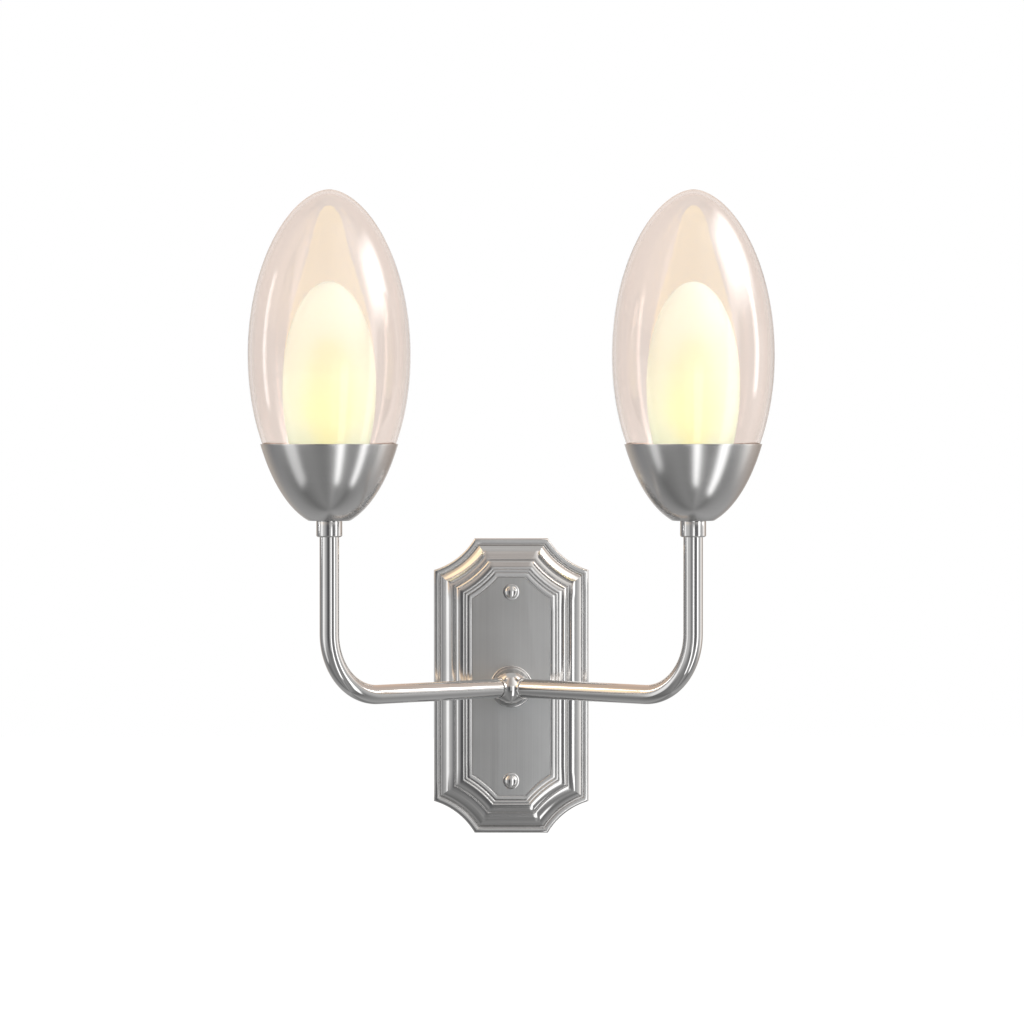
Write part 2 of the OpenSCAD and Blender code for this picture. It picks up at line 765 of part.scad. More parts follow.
module cup_nipple(side) {
    base = arm_top_z - nipple_in_arm;
    color(zinc) on_side(side) at_light() translate([0, 0, base])
        plain_ring(nipple_d, nipple_bore, cup_nipple_top - base);
}

module cup_washer(side) {
    color(zinc) on_side(side) at_light() translate([0, 0, cup_floor_z])
        plain_ring(cup_washer_d, nipple_d + 2 * hole_clear, washer_t);
}

module cup_nut(side) {
    color(zinc) on_side(side) at_light() translate([0, 0, cup_nut_z]) hex_nut();
}

module lamp_holder(side) {
    color(porcelain) on_side(side) at_light() difference() {
        union() {
            translate([0, 0, holder_z]) cylinder(d = holder_d, h = holder_shoulder_h);
            translate([0, 0, shoulder_z]) cylinder(d = sleeve_d, h = sleeve_h);
        }
        translate([0, 0, holder_z - cut])
            cylinder(d = nipple_d + 2 * seat_clear, h = cut + holder_nipple_depth + nipple_room);
        translate([0, 0, holder_z]) cylinder(d = nipple_bore, h = floor_under_z - holder_z);
        translate([0, 0, floor_under_z - cut])
            cylinder(d = contact_stem_d + 2 * seat_clear, h = holder_floor_t + 2 * cut);
        translate([0, 0, floor_top_z])
            cylinder(d = screw_shell_d + 2 * seat_clear, h = holder_top_z - floor_top_z + cut);
    }
}

module screw_shell(side) {
    color(brass) on_side(side) at_light() translate([0, 0, floor_top_z])
        plain_ring(screw_shell_d, base_d + 2 * lamp_clear, base_top_z - shell_recess - floor_top_z);
}

module holder_contact(side) {
    color(brass) on_side(side) at_light() {
        translate([0, 0, floor_top_z]) cylinder(d = contact_d, h = contact_t);
        translate([0, 0, floor_top_z - contact_stem_l]) cylinder(d = contact_stem_d, h = contact_stem_l);
    }
}

module glass_tray(side) {
    color(zinc) on_side(side) at_light() translate([0, 0, shoulder_z])
        plain_ring(2 * tray_r, sleeve_d + 2 * hole_clear, tray_t);
}

module shade_ring(side) {
    color(porcelain) on_side(side) at_light() translate([0, 0, tray_top_z])
        plain_ring(shade_ring_d, sleeve_d + 2 * seat_clear, shade_ring_h);
}

// A gasket on the tray: a flat ring under a glass's foot, with a lip inside the glass
module gasket(foot_in_r, foot_out_r) {
    lip_r = foot_in_r - lip_gap;
    color(silicone) at_light() translate([0, 0, tray_top_z])
        turned([
            [lip_r - gasket_lip_w, 0],
            [foot_out_r, 0],
            [foot_out_r, gasket_t],
            [lip_r, gasket_t],
            [lip_r, gasket_t + gasket_lip_h],
            [lip_r - gasket_lip_w, gasket_t + gasket_lip_h]
        ]);
}

module outer_gasket(side) {
    on_side(side) gasket(outer_foot_in_r, tray_r);
}

module inner_gasket(side) {
    on_side(side) gasket(neck_r - inner_glass_t, neck_r + lip_gap);
}

// One face of the outer glass, from its foot to its top
function outer_face(skin) = concat(
    [for (i = [glass_low_steps : -1 : 1])
        let (z = outer_mid_z - (outer_mid_z - glass_foot_z) * i / glass_low_steps)
        [(outer_r - skin) * sqrt(1 - pow((outer_mid_z - z) / (outer_low_h - skin), 2)), z]],
    quarter(0, outer_mid_z, outer_r - skin, outer_top_h - skin, glass_top_steps, outer_top_power)
);

module outer_glass(side) {
    color(clear_glass) on_side(side) at_light()
        turned(concat(outer_face(0), reversed(outer_face(outer_glass_t))));
}

// One face of the inner glass, from its foot to its top
function inner_face(skin) =
    let (r = inner_r - skin, low_h = inner_low_h - skin, narrow = neck_r - skin)
    let (neck_angle = acos(narrow / r))
    concat(
        [[narrow, glass_foot_z]],
        [for (i = [glass_low_steps : -1 : 1])
            let (a = neck_angle * i / glass_low_steps) [r * cos(a), inner_mid_z - low_h * sin(a)]],
        quarter(0, inner_mid_z, r, inner_top_h - skin, glass_top_steps)
    );

module inner_glass(side) {
    color(frosted_glass) on_side(side) at_light()
        turned(concat(inner_face(0), reversed(inner_face(inner_glass_t))));
}

// One face of a lamp's glass, from the base's mouth to its top
function lamp_face(skin) =
    let (r = lamp_d / 2 - skin, narrow = lamp_neck_r - skin, neck_top = base_top_z + lamp_neck_h)
    concat(
        [for (i = [0 : lamp_low_steps - 1])
            let (t = i / lamp_low_steps) [narrow + (r - narrow) * s_curve(t), neck_top + lamp_low_h * t]],
        quarter(0, lamp_mid_z, r, lamp_top_h - skin, lamp_top_steps)
    );

module lamp_glass(side) {
    plug_in_r = lamp_plug_r - lamp_glass_t;
    color(clear_glass) on_side(side) at_light() turned(concat(
        [[plug_in_r, stem_foot_z], [lamp_plug_r, stem_foot_z]],
        [[lamp_plug_r, base_top_z], [lamp_neck_r, base_top_z]],
        lamp_face(0),
        reversed(lamp_face(lamp_glass_t)),
        [[plug_in_r, base_top_z + lamp_neck_h / 2]]
    ));
}

module lamp_base(side) {
    color(brass) on_side(side) at_light() translate([0, 0, base_z])
        plain_ring(base_d, base_d - 2 * base_wall, base_h);
}

module lamp_insulator(side) {
    color(black_insulator) on_side(side) at_light() translate([0, 0, base_z - insulator_h])
        turned([
            [0, 0],
            [tip_d / 2, 0],
            [base_d / 2, insulator_h],
            [0, insulator_h]
        ]);
}

module lamp_tip(side) {
    dome = quarter(0, 0, tip_d / 2, tip_h, tip_steps);
    color(brass) on_side(side) at_light() translate([0, 0, tip_z])
        turned(concat([[0, tip_h]], [for (p = dome) [p[0], tip_h - p[1]]]));
}

module lamp_stem(side) {
    foot_h = lamp_plug_h / 2;
    color(clear_glass) on_side(side) at_light() turned([
        [0, stem_foot_z],
        [stem_foot_r, stem_foot_z],
        [stem_foot_r, stem_foot_z + foot_h],
        [stem_r, stem_foot_z + 3 * foot_h],
        [stem_r, stem_top_z],
        [0, stem_top_z]
    ]);
}

module filament(side) {
    color(filament_glow) on_side(side) at_light() {
        translate([0, 0, stem_top_z]) cylinder(r = stem_r, h = support_d);
        for (sx = [-1, 1]) translate([0, 0, stem_top_z + support_d / 2])
            rotate([0, sx * atan2(filament_r, filament_rise), 0])
                cylinder(d = support_d, h = norm([filament_r, filament_rise]));
        translate([0, 0, filament_z]) rotate([90, 0, 0])
            rotate_extrude(angle = 180) translate([filament_r, 0]) circle(d = filament_d);
    }
}

mounting_bar();
earth_screw();
backplate();
centre_panel();
plate_screws();
plate_screw_rings();
hub_ring();
hub_ball();
hub_nipple();
hub_washer();
hub_nut();
arm("left");  // arm_left
arm("right");  // arm_right
lead("left");  // lead_left
lead("right");  // lead_right
collar("left");  // collar_left
collar("right");  // collar_right
cup("left");  // cup_left
cup("right");  // cup_right
cup_nipple("left");  // cup_nipple_left
cup_nipple("right");  // cup_nipple_right
cup_washer("left");  // cup_washer_left
cup_washer("right");  // cup_washer_right
cup_nut("left");  // cup_nut_left
cup_nut("right");  // cup_nut_right
lamp_holder("left");  // lamp_holder_left
lamp_holder("right");  // lamp_holder_right
screw_shell("left");  // screw_shell_left
screw_shell("right");  // screw_shell_right
holder_contact("left");  // holder_contact_left
holder_contact("right");  // holder_contact_right
glass_tray("left");  // glass_tray_left
glass_tray("right");  // glass_tray_right
shade_ring("left");  // shade_ring_left
shade_ring("right");  // shade_ring_right
outer_gasket("left");  // outer_gasket_left
outer_gasket("right");  // outer_gasket_right
inner_gasket("left");  // inner_gasket_left
inner_gasket("right");  // inner_gasket_right
outer_glass("left");  // outer_glass_left
outer_glass("right");  // outer_glass_right
inner_glass("left");  // inner_glass_left
inner_glass("right");  // inner_glass_right
lamp_glass("left");  // lamp_glass_left
lamp_glass("right");  // lamp_glass_right
lamp_base("left");  // lamp_base_left
lamp_base("right");  // lamp_base_right
lamp_insulator("left");  // lamp_insulator_left
lamp_insulator("right");  // lamp_insulator_right
lamp_tip("left");  // lamp_tip_left
lamp_tip("right");  // lamp_tip_right
lamp_stem("left");  // lamp_stem_left
lamp_stem("right");  // lamp_stem_right
filament("left");  // filament_left
filament("right");  // filament_right
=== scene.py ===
# %% [markdown]
# # A wall light with two glass shades
#
# The object is a wall sconce: a moulded plate on the wall, a ball in its middle, two bent tubes,
# and on each tube a spun metal cup that carries a clear glass with a frosted one inside it.
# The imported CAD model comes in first. It is a fixed frame in metres, and every piece made here
# goes where the CAD says, so nothing has to be fitted by eye.

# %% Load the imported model
import math

import bmesh
import bpy
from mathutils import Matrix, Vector


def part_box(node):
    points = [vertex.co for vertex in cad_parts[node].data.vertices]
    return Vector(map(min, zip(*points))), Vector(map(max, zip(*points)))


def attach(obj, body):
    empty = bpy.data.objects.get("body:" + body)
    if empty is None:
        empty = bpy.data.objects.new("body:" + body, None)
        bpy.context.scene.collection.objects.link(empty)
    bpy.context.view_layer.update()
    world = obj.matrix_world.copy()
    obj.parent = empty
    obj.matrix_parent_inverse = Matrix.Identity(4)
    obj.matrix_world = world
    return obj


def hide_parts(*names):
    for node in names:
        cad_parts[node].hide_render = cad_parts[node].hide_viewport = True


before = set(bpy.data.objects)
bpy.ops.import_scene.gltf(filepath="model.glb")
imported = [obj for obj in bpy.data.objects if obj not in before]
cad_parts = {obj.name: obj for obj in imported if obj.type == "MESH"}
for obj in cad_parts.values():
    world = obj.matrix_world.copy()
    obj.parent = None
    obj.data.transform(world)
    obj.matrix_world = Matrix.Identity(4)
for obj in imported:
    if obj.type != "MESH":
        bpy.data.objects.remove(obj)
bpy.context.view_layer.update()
MM = 0.001

# %% [markdown]
# ## The camera
#
# The picture is a straight, distant view, as product photographers take it, so that the two arms
# look alike. A long lens far away gives that. The eye level is where the cups' rims look flat:
# just at the height of the rims, well above the plate. A small tilt down puts the object in place
# in the frame, and no shift is needed.

# %% Camera
scene = bpy.context.scene
camera_data = bpy.data.cameras.new("camera")
camera_data.sensor_width = 36
camera_data.lens = 150
camera = bpy.data.objects.new("camera", camera_data)
scene.collection.objects.link(camera)
camera.location = (0.0005, -2.9, 0.164)
camera.rotation_euler = (math.radians(90 - 0.913), 0, 0)
scene.camera = camera
scene.view_settings.view_transform = "Standard"
print("camera", tuple(camera.location))

# %% [markdown]
# ## Node helpers
#
# Every finish below is a small network of nodes. A few short helpers keep those networks readable.
# The first adds a node and fills in its settings and sockets, and the second starts a new material
# and hands back its main shader. The others each add one kind of node that is used often: a colour
# ramp, a sum, a smooth step, and a noise that follows the place on the object.

# %% Node helpers
def add(tree, kind, inputs=None, **settings):
    """A new node. A value in inputs is either a number or colour, or a socket to link from."""
    made = tree.nodes.new(kind)
    for key, value in settings.items():
        setattr(made, key, value)
    for key, value in (inputs or {}).items():
        if isinstance(value, bpy.types.NodeSocket):
            tree.links.new(value, made.inputs[key])
        else:
            made.inputs[key].default_value = value
    return made


def new_finish(name, **sockets):
    """A material, its node tree and its main shader, with plain values set on the shader."""
    material = bpy.data.materials.new(name)
    material.use_nodes = True
    tree = material.node_tree
    shader = tree.nodes["Principled BSDF"]
    for key, value in sockets.items():
        shader.inputs[key.replace("_", " ")].default_value = value
    return material, tree, shader


def ramp(tree, source, stops):
    """A colour ramp fed by a socket. Stops are (place, colour) pairs."""
    made = add(tree, "ShaderNodeValToRGB", {"Fac": source})
    bar = made.color_ramp.elements
    while len(bar) < len(stops):
        bar.new(0.5)
    for element, (place, colour) in zip(bar, stops):
        element.position = place
        element.color = (*colour, 1)
    return made.outputs["Color"]


def calc(tree, operation, *values):
    """The result of a sum over sockets or numbers."""
    return add(tree, "ShaderNodeMath", dict(enumerate(values)), operation=operation).outputs[0]


def smooth_step(tree, value, start, end):
    """A smooth rise from 0 to 1 while a value goes from start to end."""
    return add(tree, "ShaderNodeMapRange", {"Value": value, "From Min": start, "From Max": end},
               interpolation_type="SMOOTHSTEP").outputs[0]


def place_noise(tree, scale, **sockets):
    """The place on the object, and a noise that follows it."""
    where = add(tree, "ShaderNodeTexCoord").outputs["Object"]
    noise = add(tree, "ShaderNodeTexNoise", {"Vector": where, "Scale": scale, **sockets})
    return where, noise.outputs["Fac"]


print("node helpers ready")

# %% [markdown]
# ## The studio
#
# Polished metal and glass have hardly any look of their own: they show the room. So the room is
# designed first, by direction alone, in the world's shader. Seen directly, and through the glass,
# it is plain white. In reflections it is a ring of light and dark greys at eye level, dark in
# front where a camera would stand. Above it are warm and cool beams, and below it a ring of floor
# greys. The tall stripes on the tubes and cups come from these rings and from the strip lamps in
# the next step. Each ring is a list of (degrees round from the front, colour). The heights at which
# one ring turns into the next are 0 at eye level, 1 straight up and -1 straight down.

# %% World
WHITE, PALE = (1.0, 1.0, 1.0), (0.80, 0.80, 0.80)
world = bpy.data.worlds.new("studio")
scene.world = world
world.use_nodes = True
sky = world.node_tree
sky.nodes.clear()
direction = add(sky, "ShaderNodeTexCoord").outputs["Generated"]
parts = add(sky, "ShaderNodeSeparateXYZ", {"Vector": direction}).outputs
bearing = calc(sky, "ARCTAN2", parts["X"], calc(sky, "MULTIPLY", parts["Y"], -1.0))
turn_part = add(sky, "ShaderNodeMapRange",
                {"Value": bearing, "From Min": -math.pi, "From Max": math.pi}).outputs[0]


def all_round(stops):
    """A ring of colours in the world, from (degrees round from the front, colour) pairs."""
    return ramp(sky, turn_part, [((angle + 180) / 360, colour) for angle, colour in stops])


def blend(factor, first, second):
    """One colour of the world turning into another."""
    return add(sky, "ShaderNodeMix", {"Factor": factor, "A": first, "B": second},
               data_type="RGBA").outputs["Result"]


RING = [(-180, (0.66, 0.65, 0.64)), (-170, (0.66, 0.65, 0.64)), (-162, (0.40, 0.36, 0.33)),
        (-145, (0.40, 0.36, 0.32)), (-118, (0.17, 0.17, 0.18)), (-95, (0.30, 0.30, 0.30)),
        (-74, (0.42, 0.42, 0.42)), (-50, (0.52, 0.52, 0.52)), (-36, (0.38, 0.38, 0.38)),
        (-14, (0.07, 0.07, 0.075)), (0, (0.10, 0.10, 0.10)), (38, (0.13, 0.13, 0.135)),
        (80, (0.42, 0.42, 0.42)), (92, (0.55, 0.54, 0.53)), (104, (1.0, 0.98, 0.96)),
        (112, (0.95, 0.90, 0.86)), (122, (0.50, 0.44, 0.40)), (150, (0.30, 0.26, 0.23)),
        (162, (0.36, 0.32, 0.29)), (170, (0.66, 0.65, 0.64)), (180, (0.66, 0.65, 0.64))]
BEAMS = [(-180, (0.62, 0.46, 0.36)), (-128, (0.50, 0.39, 0.32)), (-106, (0.55, 0.43, 0.34)),
         (-88, (1.20, 0.92, 0.62)), (-62, (1.40, 1.05, 0.70)), (-46, (1.05, 0.82, 0.60)),
         (-38, (0.38, 0.32, 0.28)), (-28, (0.62, 0.50, 0.41)), (-14, (0.36, 0.33, 0.31)),
         (0, (0.40, 0.37, 0.35)), (13, (0.66, 0.64, 0.62)), (26, (1.00, 0.97, 0.94)),
         (38, (1.10, 1.07, 1.04)), (62, (1.40, 1.35, 1.30)), (82, (1.30, 1.24, 1.18)),
         (96, (0.55, 0.48, 0.43)), (128, (0.50, 0.41, 0.36)), (180, (0.62, 0.46, 0.36))]
FLOOR = [(-180, 0.18), (-150, 0.32), (-116, 0.26), (-97, 0.19), (-81, 0.13), (-55, 0.19),
         (-35, 0.23), (-10, 0.18), (0, 0.19), (17, 0.36), (29, 0.20), (41, 0.27), (53, 0.20),
         (67, 0.13), (81, 0.22), (110, 0.30), (143, 0.34), (165, 0.22), (180, 0.18)]
floor_greys = all_round([(angle, (grey, grey, grey)) for angle, grey in FLOOR])
ceiling = blend(smooth_step(sky, parts["Z"], 0.86, 0.96), all_round(BEAMS), (0.44, 0.43, 0.42, 1))
lower = blend(smooth_step(sky, parts["Z"], -0.12, -0.62), all_round(RING), floor_greys)
room = blend(smooth_step(sky, parts["Z"], 0.05, 0.32), lower, ceiling)
rays = add(sky, "ShaderNodeLightPath").outputs
seen = calc(sky, "MAXIMUM", rays["Is Camera Ray"], rays["Is Transmission Ray"])
plain = add(sky, "ShaderNodeBackground", {"Color": (*PALE, 1), "Strength": 0.36}).outputs[0]
reflected = add(sky, "ShaderNodeBackground", {"Color": room, "Strength": 1.45}).outputs[0]
white = add(sky, "ShaderNodeBackground", {"Color": (*WHITE, 1), "Strength": 1.0}).outputs[0]
indirect = add(sky, "ShaderNodeMixShader", {0: rays["Is Glossy Ray"], 1: plain, 2: reflected}).outputs[0]
whole = add(sky, "ShaderNodeMixShader", {0: seen, 1: indirect, 2: white}).outputs[0]
add(sky, "ShaderNodeOutputWorld", {"Surface": whole})
print("world made, with", len(RING), "greys round the horizon")

# %% [markdown]
# ## Lamps and floor
#
# Tall strip lamps close to the object draw the crisp lines on its tubes and cups. Because they are
# close, each piece sees them from another side, so the lines fall differently on the left and
# right cup, as they do in the photo. A thin one at each side lights the upper edges. A big soft box
# high on the right makes the tall white highlight on each glass. Further on it is linked to the
# glasses alone, so that its light doesn't fall on the metal. The floor lies well below, because the
# object hangs on a wall. It is pale, and it keeps the object's shadow.

# %% Lamps and floor
def soft_box(name, place, size, power, colour=WHITE, aim=(0, -0.06, 0.12)):
    """A rectangular lamp that faces the object's middle. It shines from its front only."""
    data = bpy.data.lights.new(name, "AREA")
    data.shape = "RECTANGLE"
    data.size, data.size_y = size
    data.energy = power
    data.color = colour
    lamp = bpy.data.objects.new(name, data)
    scene.collection.objects.link(lamp)
    lamp.location = place
    lamp.rotation_euler = (Vector(aim) - Vector(place)).to_track_quat("-Z", "Y").to_euler()
    return lamp


def soften(lamp, side, end):
    """Lets a lamp fade out to its edges, as a soft box's cloth does, over two parts of its size."""
    lamp.data.use_nodes = True
    tree = lamp.data.node_tree
    place = add(tree, "ShaderNodeNewGeometry").outputs["Parametric"]
    place = add(tree, "ShaderNodeSeparateXYZ", {"Vector": place}).outputs
    fades = []
    for axis, edge in (("X", side), ("Y", end)):
        off = calc(tree, "ABSOLUTE", calc(tree, "SUBTRACT", place[axis], 0.5))
        fades.append(smooth_step(tree, off, 0.5, 0.5 - edge))
    tree.links.new(calc(tree, "MULTIPLY", *fades), tree.nodes["Emission"].inputs["Strength"])


def strip(name, x, y, width, low, high, glow, colour=WHITE):
    """An upright strip lamp from low to high. glow is its brightness, where 1 is white."""
    middle = (low + high) / 2
    power = glow * math.pi * width * (high - low)
    lamp = soft_box(name, (x, y, middle), (width, high - low), power, colour, aim=(0, -0.13, middle))
    soften(lamp, 0.3, 0.12)


strip("left_strip", -0.60, -0.33, 0.30, -0.44, 0.26, 0.7)
strip("left_edge", -0.62, -0.06, 0.06, 0.06, 0.50, 4.0)
strip("front_strip", 0.172, -0.806, 0.22, -0.95, 0.24, 1.7)
strip("front_edge", 0.0, -0.82, 0.20, -0.25, 0.24, 0.45)
strip("right_strip", 0.49, -0.407, 0.20, -0.70, 0.42, 1.7)
strip("right_edge", 0.52, -0.10, 0.07, 0.12, 0.46, 5.0)
right_box = soft_box("right_box", (0.50, -0.19, 0.56), (0.62, 0.56), 9.0, aim=(0, -0.136, 0.24))
soften(right_box, 0.35, 0.45)
fill = soft_box("top_box", (-0.3, -1.0, 2.1), (1.2, 1.0), 14, (1.0, 0.97, 0.94))
fill.visible_glossy = fill.visible_transmission = False

FLOOR_Z = -0.45
floor_mesh = bpy.data.meshes.new("floor")
half = 6.0
floor_mesh.from_pydata([(-half, -half, 0), (half, -half, 0), (half, half, 0), (-half, half, 0)], [],
                       [(0, 1, 2, 3)])
floor = bpy.data.objects.new("floor", floor_mesh)
scene.collection.objects.link(floor)
floor.location.z = FLOOR_Z
floor_finish, tree, shader = new_finish("pale_floor", Roughness=0.9)
shader.inputs["Base Color"].default_value = (*PALE, 1)
shader.inputs["Emission Color"].default_value = (*WHITE, 1)
rays = add(tree, "ShaderNodeLightPath").outputs
seen = calc(tree, "MAXIMUM", rays["Is Camera Ray"], rays["Is Transmission Ray"])
tree.links.new(calc(tree, "MULTIPLY", seen, 0.80), shader.inputs["Emission Strength"])
floor.data.materials.append(floor_finish)
floor.visible_glossy = False
print("lamps and floor made")

# %% [markdown]
# ## Mesh helpers
#
# Nearly everything here is a skin over rings: a turned cup is a stack of circles, a tube is
# circles along a path, and the plate is its outline drawn in again and again. So one helper joins
# rings into a mesh. It also writes a UV map in metres, with U along each ring and V across the
# rings, because brushed metal needs to know which way it was brushed.

# %% Rings into a mesh
def loft(name, rings, wrap=False, caps=(False, False), sharp=32):
    """A smooth mesh over closed rings of equal length. wrap joins the last ring to the first."""
    count = len(rings[0])
    rings = [[Vector(p) for p in ring] for ring in rings]
    longest = max(rings, key=lambda ring: sum((ring[i] - ring[i - 1]).length for i in range(count)))
    run = [0.0]
    for i in range(count):
        run.append(run[-1] + (longest[(i + 1) % count] - longest[i]).length)
    rise = [0.0]
    for below, above in zip(rings, rings[1:] + rings[:1]):
        steps = [(above[i] - below[i]).length for i in range(0, count, 4)]
        rise.append(rise[-1] + sum(steps) / len(steps))
    shape = bmesh.new()
    lines = shape.loops.layers.uv.new("lines")
    corners = [[shape.verts.new(p) for p in ring] for ring in rings]
    for j in range(len(rings) if wrap else len(rings) - 1):
        for i in range(count):
            k, m = (i + 1) % count, (j + 1) % len(rings)
            face = shape.faces.new((corners[j][i], corners[j][k], corners[m][k], corners[m][i]))
            for loop, (u, v) in zip(face.loops, ((i, j), (i + 1, j), (i + 1, j + 1), (i, j + 1))):
                loop[lines].uv = (run[u], rise[v])
    for wanted, ring in zip(caps, (corners[0], corners[-1])):
        if wanted:
            face = shape.faces.new(ring)
            for loop in face.loops:
                loop[lines].uv = (loop.vert.co.z, loop.vert.co.x)
    bmesh.ops.remove_doubles(shape, verts=shape.verts, dist=2e-7)
    bmesh.ops.recalc_face_normals(shape, faces=shape.faces)
    mesh = bpy.data.meshes.new(name)
    shape.to_mesh(mesh)
    shape.free()
    mesh.shade_smooth()
    mesh.set_sharp_from_angle(angle=math.radians(sharp))
    piece = bpy.data.objects.new(name, mesh)
    scene.collection.objects.link(piece)
    return piece


def spot(at, radius, angle, height, out=False):
    """A point round an upright line, or with out round a line that comes out of the wall, in mm."""
    a, b = radius * math.cos(angle) * MM, radius * math.sin(angle) * MM
    if out:
        return at[0] + a, at[1] - height * MM, at[2] + b
    return at[0] + a, at[1] + b, at[2] + height * MM


def turn(name, profile, at, out=False, steps=96, wrap=True, sharp=32):
    """A turned piece from [radius, height] points in mm. out turns it about the way out of the wall."""
    angles = [math.pi / 2 + 2 * math.pi * i / steps for i in range(steps)]
    rings = [[spot(at, radius, angle, height, out) for angle in angles] for radius, height in profile]
    return loft(name, rings, wrap=wrap, sharp=sharp)


def dress(piece, finish, body, slot, *nodes):
    """Gives a piece its finish and the body it rides on, and hides the CAD nodes it stands for. slot is
    not used.
    """
    piece.data.materials.clear()
    piece.data.materials.append(finish)
    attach(piece, body)
    if nodes:
        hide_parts(*nodes)
    print(piece.name, len(piece.data.polygons), "faces")
    return piece


def eased(points, radius, steps=3, closed=True):
    """The same outline with its corners rounded off, so that edges catch the light."""
    done = []
    last = len(points)
    for i, here in enumerate(points):
        if not closed and i in (0, last - 1):
            done.append(here)
            continue
        a, p, b = Vector(points[i - 1]), Vector(here), Vector(points[(i + 1) % last])
        before, after = a - p, b - p
        if min(before.length, after.length) < 1e-6 or abs(math.pi - before.angle(after)) < 0.35:
            done.append(here)
            continue
        cut = min(radius, 0.4 * before.length, 0.4 * after.length)
        start, end = p + before.normalized() * cut, p + after.normalized() * cut
        for k in range(steps + 1):
            t = k / steps
            done.append(tuple(start * (1 - t) ** 2 + p * 2 * t * (1 - t) + end * t ** 2))
    return done


def quadrant(steps):
    """The angles of a quarter turn."""
    return [math.pi / 2 * i / steps for i in range(steps + 1)]


print("mesh helpers ready")

# %% [markdown]
# ## Satin nickel
#
# The metal is steel plated with nickel, brushed and then lightly polished. Brushing leaves fine
# lines that run one way, and they stretch each highlight across the lines. Three things make that
# look: an anisotropic shader that follows the UV map, fine lines in the roughness and the bump
# from noise that is stretched along U, and a slow drift in colour. One recipe serves every
# metal piece, with the lines' size and strength as its settings.

# %% Brushed metal
def brushed(name, colour, roughness, anisotropy, line=0.35, length=30.0, depth=0.02, spread=0.05,
            drift=0.03):
    """Metal with fine lines along U. line and length are in mm, and depth is the bump's strength."""
    material, tree, shader = new_finish(name, Metallic=1.0, Anisotropic=anisotropy)
    along = add(tree, "ShaderNodeUVMap", uv_map="lines").outputs["UV"]
    stretched = add(tree, "ShaderNodeMapping",
                    {"Vector": along, "Scale": (1000 / length, 1000 / line, 1)}).outputs[0]
    lines = add(tree, "ShaderNodeTexNoise",
                {"Vector": stretched, "Scale": 1.0, "Detail": 3.0, "Roughness": 0.62},
                noise_dimensions="2D").outputs["Fac"]
    cloud = place_noise(tree, 24.0, Detail=3.0)[1]
    rough = add(tree, "ShaderNodeMapRange",
                {"Value": lines, "From Min": 0.3, "From Max": 0.7, "To Min": roughness - spread,
                 "To Max": roughness + spread}).outputs[0]
    tree.links.new(rough, shader.inputs["Roughness"])
    low = [c * (1 - drift) for c in colour]
    high = [min(1.0, c * (1 + drift)) for c in colour]
    half_sum = calc(tree, "MULTIPLY", calc(tree, "ADD", lines, cloud), 0.5)
    tree.links.new(ramp(tree, half_sum, [(0.35, low), (0.65, high)]), shader.inputs["Base Color"])
    bump = add(tree, "ShaderNodeBump", {"Height": lines, "Strength": depth, "Distance": 0.0005})
    tree.links.new(bump.outputs["Normal"], shader.inputs["Normal"])
    tangent = add(tree, "ShaderNodeTangent", direction_type="UV_MAP", uv_map="lines")
    tree.links.new(tangent.outputs["Tangent"], shader.inputs["Tangent"])
    return material


NICKEL = (0.65, 0.645, 0.64)
moulding_nickel = brushed("moulding_nickel", NICKEL, 0.12, 0.3, line=1.0, length=120, depth=0.005,
                          spread=0.03, drift=0.09)
turned_nickel = brushed("turned_nickel", NICKEL, 0.12, 0.3, line=0.3, length=40, depth=0.004, spread=0.02)
polished_nickel = brushed("polished_nickel", NICKEL, 0.06, 0.0, line=0.3, length=40, depth=0.0,
                          spread=0.015)
spun_nickel = brushed("spun_nickel", NICKEL, 0.20, 0.4, line=0.4, length=80, depth=0.006, spread=0.02)
tube_nickel = brushed("tube_nickel", NICKEL, 0.08, 0.0, line=0.4, length=50, depth=0.0, spread=0.01)
panel_nickel = brushed("panel_nickel", (0.505, 0.514, 0.518), 0.44, 0.3, line=1.0, length=250,
                       depth=0.02, spread=0.05, drift=0.08)
print("metals made")

# %% [markdown]
# ## The plate
#
# The plate is a pressed metal shell with a moulding all round: from the wall inward a lip, a
# groove, a broad round moulding, a sunk line, a rounded bead, and a grooved border round the panel.
# Each corner is scooped out in a quarter circle. Bevelling a box can't give that. It is made as a
# real moulding is drawn: the same outline is drawn at growing distances inward, each at the height
# of the moulding there, and the outlines are joined. The mitres then fall where outline corners are.

# %% Outline of the plate
PLATE_W, PLATE_H = 105.0, 200.0
SCOOP_R, SCOOP_X, SCOOP_Z, SCOOP_SPREAD = 47.8, 66.0, 124.3, 1.08
STRAIGHT_STEPS, SCOOP_STEPS = 6, 20


